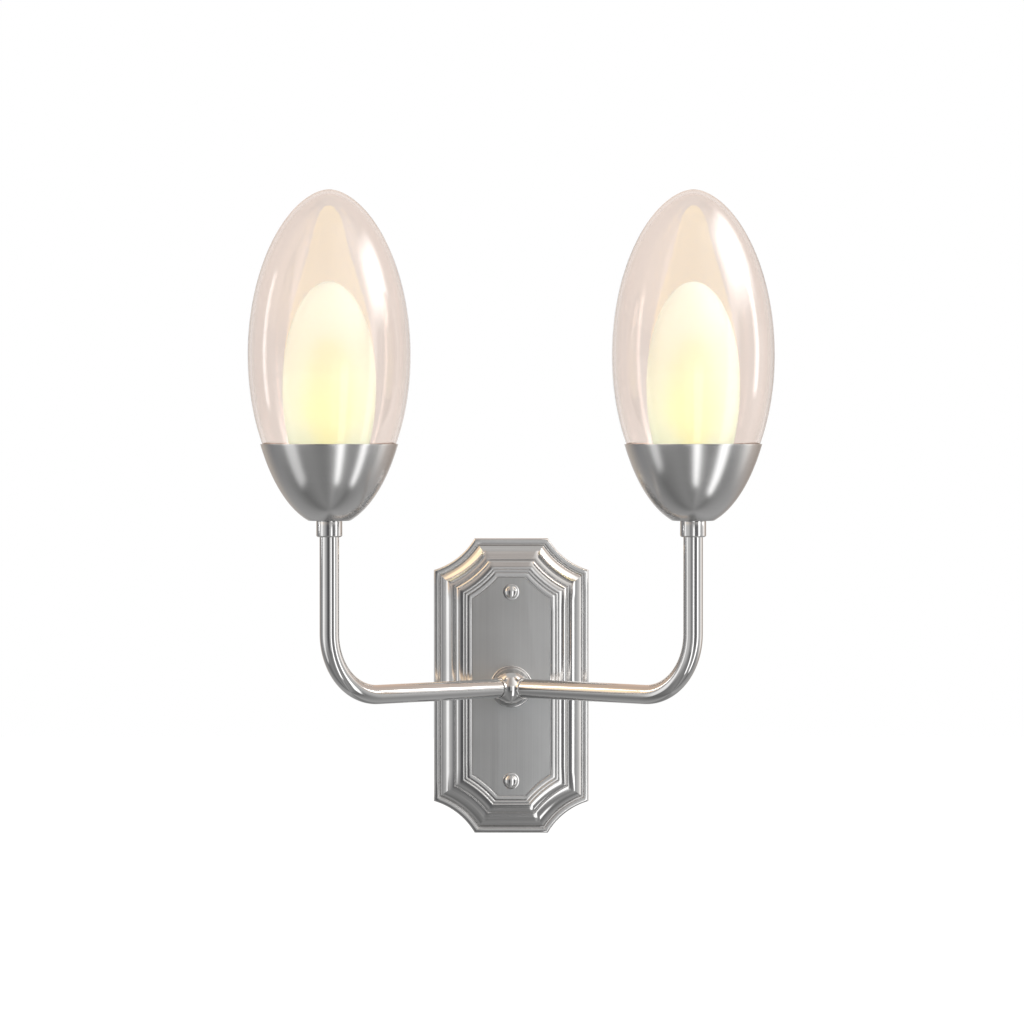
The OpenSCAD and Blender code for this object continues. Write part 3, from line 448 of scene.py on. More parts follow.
def outline(inset, y):
    """Points of the plate's outline, drawn in by a distance in mm, at a height off the wall."""
    hx, hz = PLATE_W / 2 - inset, PLATE_H / 2 - inset
    r = SCOOP_R + SCOOP_SPREAD * inset
    side_z = SCOOP_Z - math.sqrt(r * r - (SCOOP_X - hx) ** 2)
    end_x = SCOOP_X - math.sqrt(r * r - (SCOOP_Z - hz) ** 2)
    a0 = math.atan2(side_z - SCOOP_Z, hx - SCOOP_X)
    a1 = math.atan2(hz - SCOOP_Z, end_x - SCOOP_X)
    if a1 > a0:
        a1 -= 2 * math.pi
    quarter = [(hx, side_z * i / STRAIGHT_STEPS) for i in range(STRAIGHT_STEPS)]
    for i in range(SCOOP_STEPS):
        a = a0 + (a1 - a0) * i / SCOOP_STEPS
        quarter.append((SCOOP_X + r * math.cos(a), SCOOP_Z + r * math.sin(a)))
    quarter += [(end_x * (1 - i / STRAIGHT_STEPS), hz) for i in range(STRAIGHT_STEPS)]
    quarter.append((0, hz))
    right_top = quarter
    left_top = [(-x, z) for x, z in reversed(right_top[:-1])]
    left_low = [(x, -z) for x, z in reversed(left_top[:-1])]
    right_low = [(-x, z) for x, z in reversed(left_low[:-1])]
    ring = right_top + left_top + left_low + right_low[:-1]
    return [(x * MM, -y * MM, z * MM) for x, z in ring]


print("outline points:", len(outline(0, 0)))

# %% [markdown]
# The section of the moulding is a list of points: how far in from the edge, and how far off the
# wall. The broad moulding is steep outside and flat inside, and the bead is a quarter round. Real
# metal has no knife edges, so each corner of the section is eased a little.

# %% Plate
def round_point(part):
    """A point part of the way up the round moulding, an arc that starts steep and ends nearly flat."""
    foot, top = math.radians(62), math.radians(8)
    tilt = foot + (top - foot) * part
    return ((math.sin(foot) - math.sin(tilt)) / (math.sin(foot) - math.sin(top)),
            (math.cos(tilt) - math.cos(foot)) / (math.cos(top) - math.cos(foot)))


def arc(x, y, rx, ry, steps, start=0, end=90):
    """Part of an ellipse about (x, y), from one angle to another."""
    angles = [math.radians(start + (end - start) * i / steps) for i in range(steps + 1)]
    return [(x + rx * math.cos(a), y + ry * math.sin(a)) for a in angles]


LIP_W, LIP_H, LIP_ROUND, GROOVE_DEEP = 3.2, 6.5, 1.2, 0.7
ROUND_IN, ROUND_W, ROUND_RISE, LIP_INSIDE = 4.4, 9.6, 6.7, 4.7
ROUND_OUT, ROUND_TOP, STEP_EDGE = ROUND_IN + ROUND_W, LIP_H + ROUND_RISE, 0.25
BEAD_IN, BEAD_FOOT, BEAD_W, BEAD_RISE = 15.0, 14.0, 5.4, 2.2
BORDER_IN, BORDER_OUT, BORDER, BORDER_GROOVE = 20.4, 25.6, 15.6, 14.9
PANEL_FRONT, PANEL_BACK, SHELL_INSIDE = 15.0, 13.0, 11.0
lip = [(0, 0)] + [(LIP_ROUND - a, LIP_H - LIP_ROUND + b) for a, b in arc(0, 0, LIP_ROUND, LIP_ROUND, 6)]
groove = [(LIP_W, LIP_H), (LIP_W + 0.15, LIP_H - GROOVE_DEEP), (ROUND_IN - 0.15, LIP_H - GROOVE_DEEP)]
broad_round = [(ROUND_IN + ROUND_W * a, LIP_H + ROUND_RISE * b)
               for a, b in (round_point(i / 36) for i in range(37))]
step = [(ROUND_OUT + STEP_EDGE, ROUND_TOP - GROOVE_DEEP), (BEAD_IN - STEP_EDGE, ROUND_TOP - GROOVE_DEEP)]
bead = [(BEAD_IN + BEAD_W - a, BEAD_FOOT + b) for a, b in arc(0, 0, BEAD_W, BEAD_RISE, 16)]
border = [(BORDER_IN, BORDER_GROOVE), (21.0, BORDER_GROOVE), (21.0, BORDER), (22.4, BORDER),
          (22.4, BORDER_GROOVE), (23.0, BORDER_GROOVE), (23.0, BORDER), (BORDER_OUT, BORDER),
          (BORDER_OUT, PANEL_BACK + 0.02)]
hollow = eased([(15.8, SHELL_INSIDE), (6.2, LIP_INSIDE), (1.8, LIP_INSIDE), (1.8, 0)], 0.8, closed=False)
front = eased(lip + groove + broad_round + step + bead + border, 0.22, closed=False)
section = hollow + front
plate = loft("moulded_plate", [outline(i, h) for i, h in section], caps=(True, True), sharp=30)
pressed_steel = brushed("pressed_steel", (0.50, 0.50, 0.51), 0.42, 0.1, line=2.0, length=6, depth=0.04,
                        spread=0.1)
dress(plate, moulding_nickel, "root", "nickel", "backplate")
plate.data.materials.append(pressed_steel)
inside = len(hollow) * len(outline(0, 0))
for face in plate.data.polygons:
    if face.index < inside or face.normal.y > 0.9:
        face.material_index = 1
print("section points:", len(section))

# %% [markdown]
# ## The panel and its screws
#
# The panel is a separate flat sheet, let into the plate with a dark gap round it. It follows the
# same outline, and a small bevel round its edge gives the thin bright line beside the gap. Its
# brushing runs straight up and down. Two domed screws with a slot each hold it, on flat rings.

# %% Panel
def carve(piece, low, high):
    """Cuts a box, given by two corners in mm, out of a piece."""
    shape = bmesh.new()
    bmesh.ops.create_cube(shape, size=1)
    for corner in shape.verts:
        corner.co = [(low[i] if corner.co[i] < 0 else high[i]) * MM for i in range(3)]
    mesh = bpy.data.meshes.new("cutter")
    shape.to_mesh(mesh)
    shape.free()
    cutter = bpy.data.objects.new("cutter", mesh)
    scene.collection.objects.link(cutter)
    cut = piece.modifiers.new("cut", "BOOLEAN")
    cut.object = cutter
    bpy.context.view_layer.update()
    depsgraph = bpy.context.evaluated_depsgraph_get()
    done = bpy.data.meshes.new_from_object(piece.evaluated_get(depsgraph))
    piece.modifiers.clear()
    piece.data = done
    bpy.data.objects.remove(cutter)


PANEL_IN, PANEL_BEVEL = 26.1, 0.35
panel_section = [(PANEL_IN, PANEL_BACK), (PANEL_IN, PANEL_FRONT - PANEL_BEVEL),
                 (PANEL_IN + 0.1, PANEL_FRONT - 0.12), (PANEL_IN + 0.3, PANEL_FRONT - 0.02),
                 (PANEL_IN + 0.5, PANEL_FRONT)]
panel = loft("brushed_panel", [outline(i, h) for i, h in panel_section], caps=(True, True), sharp=25)
dress(panel, panel_nickel, "root", "nickel_panel", "centre_panel")

# %% Plate screws and their rings
SCREW_Z, HEAD_R, RIM, DOME = 64.0, 4.25, 0.7, 1.7
RING_R, RING_T = 5.5, 0.8
for place, z in (("upper", SCREW_Z), ("lower", -SCREW_Z)):
    at = Vector((0, 0, z * MM))
    head = PANEL_FRONT + RING_T
    shank = [(0, 0.3), (2.0, 0.3), (2.0, head), (HEAD_R, head), (HEAD_R, head + RIM)]
    dome = [(a, head + RIM + b) for a, b in arc(0, 0, HEAD_R, DOME, 12)][1:]
    screw = turn(f"plate_screw_{place}", eased(shank, 0.12, closed=False) + dome, at, out=True, steps=48,
                 wrap=False)
    dome_top = -head - RIM - DOME
    carve(screw, (-0.55, dome_top - 1, z - 8), (0.55, dome_top + 1.1, z + 8))
    dress(screw, turned_nickel, "root", "nickel", "plate_screws")
    flat = eased([(2.15, PANEL_FRONT), (RING_R, PANEL_FRONT), (RING_R, head), (2.15, head)], 0.25)
    ring = turn(f"screw_ring_{place}", flat, at, out=True, steps=48)
    dress(ring, turned_nickel, "root", "nickel", "plate_screw_rings")

# %% [markdown]
# ## The hub
#
# A ring lies on the panel and carries a ball, which joins the two arms. Both are turned on a
# lathe, so both are a profile spun about the line that comes straight out of the wall. The ball
# has a short foot, and the small step between the foot and the ring makes the dark line there.

# %% Hub
ORIGIN = Vector((0, 0, 0))
TIGHT_HOLE, FREE_HOLE = 5.05, 5.15  # holes round a nipple: one it screws into, one it passes through
HUB_RING_R, HUB_RING_T, BALL_R, BALL_OUT, FOOT_R = 14.3, 1.7, 12.7, 30.0, 7.0
hub_top = PANEL_FRONT + HUB_RING_T
ring_profile = [(FREE_HOLE, PANEL_FRONT), (HUB_RING_R, PANEL_FRONT), (HUB_RING_R, PANEL_FRONT + 1.0)]
ring_profile += [(HUB_RING_R - 0.7 + a, PANEL_FRONT + 1.0 + b) for a, b in arc(0, 0, 0.7, 0.7, 6)][1:]
ring_profile += [(13.4, hub_top - 0.1), (13.2, hub_top - 0.6), (12.7, hub_top - 0.6), (12.5, hub_top),
                 (FREE_HOLE, hub_top)]
hub_ring = turn("hub_base_ring", ring_profile, ORIGIN, out=True)
dress(hub_ring, polished_nickel, "root", "nickel", "hub_ring")
foot_angle = -math.degrees(math.acos(FOOT_R / BALL_R))
ball_profile = [(TIGHT_HOLE, hub_top), (FOOT_R, hub_top), (FOOT_R, hub_top + 1.0)]
ball_profile += arc(0, BALL_OUT, BALL_R, BALL_R, 60, foot_angle, 90)
ball = turn("hub_centre_ball", ball_profile, ORIGIN, out=True, wrap=False)
dress(ball, polished_nickel, "root", "nickel", "hub_ball")

# %% [markdown]
# ## The arms
#
# Each arm is one steel tube, bent once. A curve with a bevel would do for a picture, but a tube
# has a wall, so it is skinned here as rings along its path, outside and then back inside. The
# path is a straight run out from the ball, a quarter turn and a straight upright under the cup.

# %% Arms
def tube(name, path, outer, inner=0.0, steps=48):
    """A round tube or bar along a path of points in mm, with its wall between two radii."""
    path = [Vector(p) for p in path]
    across = None
    frames = []
    for i, here in enumerate(path):
        ahead = (path[min(i + 1, len(path) - 1)] - path[max(i - 1, 0)]).normalized()
        if across is None:
            across = ahead.orthogonal().normalized()
        across = (across - ahead * across.dot(ahead)).normalized()
        frames.append((here, across.copy(), ahead.cross(across)))

    def rings(radius, order):
        angles = [2 * math.pi * i / steps for i in range(steps)]
        return [[(here + (a * math.cos(t) + b * math.sin(t)) * radius) * MM for t in angles]
                for here, a, b in order]

    if inner:
        return loft(name, rings(outer, frames) + rings(inner, frames[::-1]), wrap=True)
    return loft(name, rings(outer, frames), caps=(True, True))


SIDES = {"left": -1, "right": 1}
ARM_ANGLE, ARM_REACH, BEND_R, ARM_SEAT, ARM_TOP = math.radians(42), 158.6, 41.0, 7.1, 111.2
ARM_R, ARM_BORE_R = 6.35, 5.15


def arm_path(start, top, out_steps=12, bend_steps=28, up_steps=8):
    """Points along the middle of an arm, as (distance out along the arm, height) in mm."""
    run = [(start + (ARM_REACH - BEND_R - start) * i / out_steps, 0) for i in range(out_steps)]
    bend = [(ARM_REACH - BEND_R + BEND_R * math.sin(a), BEND_R - BEND_R * math.cos(a))
            for a in quadrant(bend_steps)[:-1]]
    upright = [(ARM_REACH, BEND_R + (top - BEND_R) * i / up_steps) for i in range(up_steps + 1)]
    return run + bend + upright


def on_arm(side, points):
    """Those points in the frame of the CAD, in mm."""
    along, out = SIDES[side] * math.cos(ARM_ANGLE), math.sin(ARM_ANGLE)
    return [(d * along, -BALL_OUT - d * out, z) for d, z in points]


SOCKET_R, SOCKET_OUT_R, SOCKET_FROM, SOCKET_TO = 6.4, 7.15, 8.0, 12.0
socket_rim = eased([(SOCKET_R, SOCKET_FROM), (SOCKET_OUT_R, SOCKET_FROM), (SOCKET_OUT_R, SOCKET_TO),
                    (SOCKET_R, SOCKET_TO)], 0.3)
for side in SIDES:
    rings = []
    for radius, out in socket_rim:
        middle = Vector(on_arm(side, [(out, 0)])[0])
        across = Vector((SIDES[side] * math.sin(ARM_ANGLE), math.cos(ARM_ANGLE), 0))
        rings.append([(middle + across * radius * math.cos(a) + Vector((0, 0, radius * math.sin(a)))) * MM
                      for a in (2 * math.pi * i / 64 for i in range(64))])
    dress(loft(f"socket_rim_{side}", rings, wrap=True), polished_nickel, "root", "nickel", "hub_ball")
    arm = tube(f"bent_arm_{side}", on_arm(side, arm_path(ARM_SEAT, ARM_TOP)), ARM_R, ARM_BORE_R)
    dress(arm, tube_nickel, "root", "nickel_tube", f"arm_{side}")

# %% [markdown]
# ## Collars and cups
#
# The collar is a small turned sleeve on the tube's end. The cup is spun from sheet over a form,
# and its side is part of an ellipse, the same one that the glass carries on above the rim. Both
# are spun profiles. The cup's has an outside and an inside, so that it has a real wall and rim.

# %% Collars and cups
LIGHT = {}
for side in SIDES:
    near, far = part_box(f"collar_{side}")
    LIGHT[side] = Vector(((near.x + far.x) / 2, (near.y + far.y) / 2, 0))
CUP_BASE, CUP_H, CUP_WALL, RIM_R, CUP_FOOT_R, OUTER_MID_H = 114.3, 49.7, 0.9, 44.7, 13.6, 57.6
CUP_RIM = CUP_BASE + CUP_H
CUP_MID = CUP_RIM + OUTER_MID_H
low_h = OUTER_MID_H + CUP_H
CUP_B = 1 / math.sqrt((RIM_R ** 2 - CUP_FOOT_R ** 2)
                      / ((RIM_R * low_h) ** 2 - (CUP_FOOT_R * OUTER_MID_H) ** 2))
CUP_A = RIM_R / math.sqrt(1 - (OUTER_MID_H / CUP_B) ** 2)


def cup_radius(z, skin=0.0):
    """The cup's radius at a height. skin is how far inside its outer face."""
    return (CUP_A - skin) * math.sqrt(1 - ((CUP_MID - z) / (CUP_B - skin)) ** 2)


COLLAR_FOOT, COLLAR_FOOT_R, COLLAR_R, COLLAR_BORE_R = 103.7, 7.65, 8.45, 6.4
collar_profile = eased([(COLLAR_BORE_R, COLLAR_FOOT), (COLLAR_FOOT_R, COLLAR_FOOT),
                        (COLLAR_R, COLLAR_FOOT + 0.8), (COLLAR_R, CUP_BASE), (TIGHT_HOLE, CUP_BASE),
                        (TIGHT_HOLE, ARM_TOP), (COLLAR_BORE_R, ARM_TOP)], 0.25)
cup_steps = 56
climb = [(i / cup_steps) ** 1.5 for i in range(cup_steps + 1)]
outside = [(cup_radius(z), z) for z in (CUP_BASE + CUP_H * part for part in climb)]
inside_wall = [(cup_radius(z, CUP_WALL), z)
               for z in (CUP_BASE + CUP_WALL + (CUP_H - CUP_WALL) * part for part in climb)]
cup_profile = eased([(FREE_HOLE, CUP_BASE)] + outside + inside_wall[::-1]
                    + [(FREE_HOLE, CUP_BASE + CUP_WALL)], 0.3)
for side in SIDES:
    collar = turn(f"turned_collar_{side}", collar_profile, LIGHT[side], steps=64)
    dress(collar, turned_nickel, "root", "nickel", f"collar_{side}")
    cup = turn(f"spun_cup_{side}", cup_profile, LIGHT[side], steps=128)
    dress(cup, spun_nickel, "root", "nickel", f"cup_{side}")
print("cup ellipse:", round(CUP_A, 2), round(CUP_B, 2))

# %% [markdown]
# ## Glass
#
# Clear glass is mostly what it bends and mirrors. It needs a closed wall of real thickness, or
# light passes as through a soap bubble, and a faint warm tint that grows where the line of sight
# runs along the wall. Blown glass is never quite even, so a very weak, wide bump goes with it.
# The inner glass is etched, so it is rough glass. Its glow is painted light: the lamp's scattered light
# is painted on it as emission, in a colour graded by height.

# %% Glass finishes
clear_glass, tree, shader = new_finish("clear_glass", Roughness=0.0, IOR=1.45, Transmission_Weight=1.0)
wave = place_noise(tree, 14.0, Detail=1.0)[1]
wave_bump = add(tree, "ShaderNodeBump", {"Height": wave, "Strength": 0.05, "Distance": 0.004})
tree.links.new(wave_bump.outputs["Normal"], shader.inputs["Normal"])
tree.links.new(ramp(tree, wave, [(0.3, (0.89, 0.835, 0.80)), (0.7, (0.91, 0.855, 0.82))]),
               shader.inputs["Base Color"])
tint = add(tree, "ShaderNodeVolumeAbsorption", {"Color": (0.80, 0.60, 0.50, 1), "Density": 25.0})
tree.links.new(tint.outputs["Volume"], tree.nodes["Material Output"].inputs["Volume"])

frosted_glass, tree, shader = new_finish("frosted_glass", IOR=1.45, Transmission_Weight=0.75)
where, grain = place_noise(tree, 900.0, Detail=2.0)
rough = add(tree, "ShaderNodeMapRange", {"Value": grain, "To Min": 0.42, "To Max": 0.55}).outputs[0]
tree.links.new(rough, shader.inputs["Roughness"])
# Painted glow: the frosted glass's emission stands in for the lamp's light scattered through it, and its
# colour is graded by height.
height = add(tree, "ShaderNodeSeparateXYZ", {"Vector": where}).outputs["Z"]
up = add(tree, "ShaderNodeMapRange", {"Value": height, "From Min": 0.145, "From Max": 0.27}).outputs[0]
glow = ramp(tree, up, [(0.0, (0.76, 0.90, 0.76)), (0.30, (0.74, 0.83, 0.62)), (0.65, (0.68, 0.68, 0.54)),
                       (1.0, (0.74, 0.78, 0.66))])
tree.links.new(glow, shader.inputs["Emission Color"])
shader.inputs["Emission Strength"].default_value = 0.25
shader.inputs["Base Color"].default_value = (0.97, 0.97, 0.96, 1)
frosted_glass.cycles.emission_sampling = "NONE"
print("glass made")

# %% [markdown]
# ## The two glasses
#
# The outer glass goes on where the cup's ellipse ends, in one egg-shaped curve that is a little
# keener above its widest line than below. It stands on a gasket deep in the cup and is open at
# its foot. The inner glass has a straight neck and the same kind of curve, much smaller. Last, the
# big soft box is linked to the glasses, so that it lights nothing else.

# %% Outer and inner glass
OUTER_R, OUTER_TOP_H, OUTER_T, RIM_GAP, GLASS_FOOT, KEEN = 52.75, 107.2, 2.6, 0.35, 144.9, 1.12
fit = cup_radius(CUP_RIM, CUP_WALL) - RIM_GAP
OUTER_LOW_H = OUTER_MID_H / math.sqrt(1 - (fit / OUTER_R) ** 2)


def outer_face(skin):
    """Points up the outer glass, skin mm inside its outer face."""
    r = OUTER_R - skin
    low = [(r * math.sqrt(1 - ((CUP_MID - z) / (OUTER_LOW_H - skin)) ** 2), z)
           for z in (GLASS_FOOT + (CUP_MID - GLASS_FOOT) * i / 40 for i in range(40))]
    top = [(r * max(0.0, math.cos(a)) ** KEEN, CUP_MID + (OUTER_TOP_H - skin) * math.sin(a))
           for a in quadrant(72)]
    return low + top


INNER_R, NECK_R, INNER_MID, INNER_TOP_H, INNER_LOW_H, INNER_T = 30.3, 22.8, 201.5, 67.6, 72.3, 2.2


def inner_face(skin):
    """Points up the inner glass, skin mm inside its outer face."""
    r, narrow, low_h = INNER_R - skin, NECK_R - skin, INNER_LOW_H - skin
    neck = math.acos(narrow / r)
    low = [(r * math.cos(neck * i / 30), INNER_MID - low_h * math.sin(neck * i / 30))
           for i in range(30, 0, -1)]
    top = [(max(0.0, r * math.cos(a)), INNER_MID + (INNER_TOP_H - skin) * math.sin(a))
           for a in quadrant(60)]
    return [(narrow, GLASS_FOOT)] + low + top


shades = bpy.data.collections.new("shades")
for side in SIDES:
    for name, face, thick, finish, slot in (
            ("outer_glass", outer_face, OUTER_T, clear_glass, "clear_glass"),
            ("inner_glass", inner_face, INNER_T, frosted_glass, "frosted_glass")):
        walls = face(0) + face(thick)[::-1]
        shade = turn(f"blown_{name}_{side}", walls, LIGHT[side], steps=192)
        dress(shade, finish, f"{name}_{side}", slot, f"{name}_{side}")
        shades.objects.link(shade)
right_box.light_linking.receiver_collection = shades

# %% [markdown]
# The photo shows a warm flame in the clear glass, above the frosted one. It is the lit glass, far
# brighter than a picture can show, mirrored by the clear glass's back wall. A studio lamp in the
# frosted glass's shape gives that: it is seen in reflections alone, and isn't a part of the model.

# %% Glow in reflections
warm, tree, shader = new_finish("warm_glow")
tree.nodes.remove(shader)
bright = add(tree, "ShaderNodeEmission", {"Color": (1.0, 0.78, 0.12, 1), "Strength": 5.0}).outputs[0]
clear = add(tree, "ShaderNodeBsdfTransparent").outputs[0]
behind = add(tree, "ShaderNodeNewGeometry").outputs["Backfacing"]
one_sided = add(tree, "ShaderNodeMixShader", {0: behind, 1: bright, 2: clear}).outputs[0]
tree.links.new(one_sided, tree.nodes["Material Output"].inputs["Surface"])
warm.cycles.emission_sampling = "NONE"
for side in SIDES:
    glow = turn(f"glow_{side}", inner_face(-0.5)[8:], LIGHT[side], steps=64, wrap=False)
    glow.data.materials.append(warm)
    glow.visible_camera = glow.visible_transmission = glow.visible_diffuse = glow.visible_shadow = False

# %% [markdown]
# ## Screw threads
#
# The pieces inside screw together: nipples, nuts, the holder's sleeve, the lamp's base. A thread is
# a groove that climbs one pitch for each turn. On a skin of rings that needs no boolean: each
# point's radius depends on its height and its angle together, so the groove climbs by itself. The
# groove only cuts inward from the size in the CAD, so nothing gets bigger than it should.

# %% Threads
def threaded(name, profile, at, pitch, out=False, steps=48, wrap=True):
    """A turned piece from [radius, height, groove] points in mm. The groove winds round the piece."""
    rings = []
    for radius, height, groove in profile:
        ring = []
        for i in range(steps):
            angle = math.pi / 2 + 2 * math.pi * i / steps
            dip = groove * (0.5 - 0.5 * math.cos(2 * math.pi * (height / pitch - i / steps)))
            ring.append(spot(at, radius - dip, angle, height, out))
        rings.append(ring)
    return loft(name, rings, wrap=wrap, sharp=50)


def screwed(radius, low, high, pitch, groove, lead_in=0.5):
    """Profile points of a threaded stretch, six to a pitch, with a bevel at each end."""
    count = max(2, round((high - low - 2 * lead_in) / pitch * 6))
    middle = [(radius, low + lead_in + (high - low - 2 * lead_in) * i / count, groove)
              for i in range(count + 1)]
    return [(radius - groove, low, 0)] + middle + [(radius - groove, high, 0)]


NIPPLE_R, NIPPLE_BORE_R, NIPPLE_PITCH, NIPPLE_GROOVE = 5.0, 3.6, 1.0, 0.45


def nipple(name, at, low, high, out=False):
    """A threaded pipe with a plain bore."""
    skin = screwed(NIPPLE_R, low, high, NIPPLE_PITCH, NIPPLE_GROOVE)
    skin += [(NIPPLE_BORE_R, high, 0), (NIPPLE_BORE_R, low, 0)]
    return threaded(name, skin, at, NIPPLE_PITCH, out=out, steps=36)


def hex_nut(name, at, low, out=False):
    """A hexagon nut whose corners are bevelled in a circle, as turned nuts are."""
    flat, across, thick, bevel, steps = 7.0, 9, 3.5, 0.7, 72
    rings = []
    for reach, height in ((flat - 0.1, 0), (flat + 0.5, bevel * 0.35), (across, bevel),
                          (across, thick - bevel), (flat + 0.5, thick - bevel * 0.35),
                          (flat - 0.1, thick), (5.6, thick), (TIGHT_HOLE, thick - 0.5),
                          (TIGHT_HOLE, 0.5), (5.6, 0)):
        ring = []
        for i in range(steps):
            angle = 2 * math.pi * i / steps
            corner = flat / math.cos((angle + math.pi / 6) % (math.pi / 3) - math.pi / 6)
            ring.append(spot(at, min(reach, corner), angle, low + height, out))
        rings.append(ring)
    return loft(name, rings, wrap=True, sharp=20)


def flat_ring(inner, outer, low, high, ease=0.2):
    """The section of a washer."""
    return eased([(inner, low), (outer, low), (outer, high), (inner, high)], ease)


print("thread helpers ready")

# %% [markdown]
# ## Plain metals, porcelain and rubber
#
# The inner pieces are plain but not flat in colour. Zinc plate has a cold, cloudy surface with
# small spots. Porcelain is white under a smooth glaze that has collected in a faint, soft wave.
# Silicone lets a little light in. These finishes vary by the place on the object, because turned
# pieces such as these have no brushing to follow.

# %% Finishes of the inner pieces
def clouded(name, low, high, roughness, spread, scale, bump, **sockets):
    """A finish whose colour and roughness drift in soft clouds, scale of them to a metre."""
    material, tree, shader = new_finish(name, **sockets)
    cloud = place_noise(tree, scale, Detail=5.0, Roughness=0.6)[1]
    tree.links.new(ramp(tree, cloud, [(0.36, low), (0.64, high)]), shader.inputs["Base Color"])
    rough = add(tree, "ShaderNodeMapRange",
                {"Value": cloud, "From Min": 0.3, "From Max": 0.7, "To Min": roughness - spread,
                 "To Max": roughness + spread}).outputs[0]
    tree.links.new(rough, shader.inputs["Roughness"])
    raised = add(tree, "ShaderNodeBump", {"Height": cloud, "Strength": bump, "Distance": 0.0002})
    tree.links.new(raised.outputs["Normal"], shader.inputs["Normal"])
    return material


zinc_plate = clouded("zinc_plate", (0.50, 0.52, 0.55), (0.66, 0.68, 0.70), 0.34, 0.10, 900, 0.10,
                     Metallic=1.0)
green_zinc = clouded("green_zinc", (0.05, 0.24, 0.09), (0.12, 0.40, 0.17), 0.36, 0.08, 900, 0.10,
                     Metallic=0.7)
shell_brass = clouded("shell_brass", (0.66, 0.49, 0.24), (0.82, 0.65, 0.36), 0.27, 0.07, 500, 0.05,
                      Metallic=1.0)
solder = clouded("solder", (0.50, 0.50, 0.51), (0.66, 0.66, 0.67), 0.38, 0.10, 1200, 0.2,
                 Metallic=1.0)
porcelain = clouded("porcelain", (0.83, 0.81, 0.76), (0.88, 0.87, 0.83), 0.16, 0.04, 90, 0.06,
                    Coat_Weight=0.4)
silicone = clouded("silicone", (0.78, 0.78, 0.75), (0.86, 0.86, 0.83), 0.48, 0.06, 700, 0.10,
                   Transmission_Weight=0.25)
black_glass = clouded("black_glass", (0.010, 0.010, 0.011), (0.025, 0.024, 0.024), 0.10, 0.04, 300, 0.05,
                      Coat_Weight=0.5)
sheath = clouded("wire_sheath", (0.74, 0.72, 0.64), (0.82, 0.80, 0.73), 0.52, 0.06, 600, 0.15)
sleeving = clouded("sleeving", (0.60, 0.58, 0.52), (0.72, 0.70, 0.64), 0.60, 0.05, 1500, 0.3)
print("finishes of the inner pieces made")

# %% [markdown]
# ## What holds the plate and the arms
#
# Behind the plate a bar is screwed to the wall box. A threaded nipple screws into the bar, and a
# washer and nut on it clamp the plate, the panel, the ring and the ball. The bar's shape is right
# in the CAD, so it stays and gets the zinc finish. The green screw takes the earth wire.

# %% Hub's inside and the bar
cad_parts["mounting_bar"].data.materials.clear()
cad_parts["mounting_bar"].data.materials.append(zinc_plate)
hub_nipple = nipple("hub_thread", ORIGIN, 0.3, 23.1, out=True)
dress(hub_nipple, zinc_plate, "root", "zinc", "hub_nipple")
hub_washer = turn("hub_plate_washer", flat_ring(FREE_HOLE, 10.0, 10.0, SHELL_INSIDE), ORIGIN, out=True)
dress(hub_washer, zinc_plate, "root", "zinc", "hub_washer")
dress(hex_nut("hub_hex_nut", ORIGIN, 6.5, out=True), zinc_plate, "root", "zinc", "hub_nut")
EARTH = Vector((0, 0, -0.024))
SHANK_R, PAN_R, EARTH_PITCH, SHANK_END, PAN_UNDER = 1.75, 4.0, 0.7, 0.3, 2.0
earth_skin = screwed(SHANK_R, SHANK_END, PAN_UNDER, EARTH_PITCH, 0.2, 0.2)[:-1]
earth_skin += [(SHANK_R, PAN_UNDER, 0), (PAN_R - 0.4, PAN_UNDER, 0), (PAN_R, 2.3, 0), (PAN_R, 3.7, 0)]
earth_skin += [(3.2 + a, 3.7 + b * 1.1, 0) for a, b in arc(0, 0, 0.8, 0.8, 6)] + [(0.0, 4.6, 0)]
earth = threaded("earth_pan_screw", [(0.0, SHANK_END, 0)] + earth_skin, EARTH, EARTH_PITCH, out=True,
                 wrap=False)
carve(earth, (-0.5, -6, -32), (0.5, -3.3, -16))
dress(earth, green_zinc, "root", "earth_green", "earth_screw")

# %% [markdown]
# ## Wiring
#
# In the CAD one round lead stands for the wiring of each light. What really lies in such a tube is
# a pair of insulated wires, twisted together. They start in a woven sleeve in the hub and run out
# through the ball, round the bend and up to the lamp holder. Each wire winds round the lead's path.

# %% Leads
LEAD_OFFSET, LEAD_TURN_R, LEAD_TURN, LEAD_START, LEAD_TOP = 1.7, 8.0, 48, -0.3, 130.6
TURN_FROM, TURN_END = -27.97, 5.85
WIRE_R, WIRE_GAP, TWIST_PITCH = 0.7, 0.03, 18.0
SLEEVE_L, SLEEVE_R, SLEEVE_BORE_R = 28.1, 1.65, 1.47


def lead_path(side):
    """Points along the middle of a lead in mm, from the hub's nipple to the lamp holder."""
    s = SIDES[side]
    first = [(s * LEAD_OFFSET, LEAD_START + (TURN_FROM - LEAD_START) * i / 24, 0) for i in range(24)]
    turned = [(s * (LEAD_OFFSET + LEAD_TURN_R + LEAD_TURN_R * math.cos(a)),
               TURN_FROM + LEAD_TURN_R * math.sin(a), 0)
              for a in (math.pi + math.radians(LEAD_TURN) * i / 8 for i in range(8))]
    return first + turned + on_arm(side, arm_path(TURN_END, LEAD_TOP, 90, 50, 72))


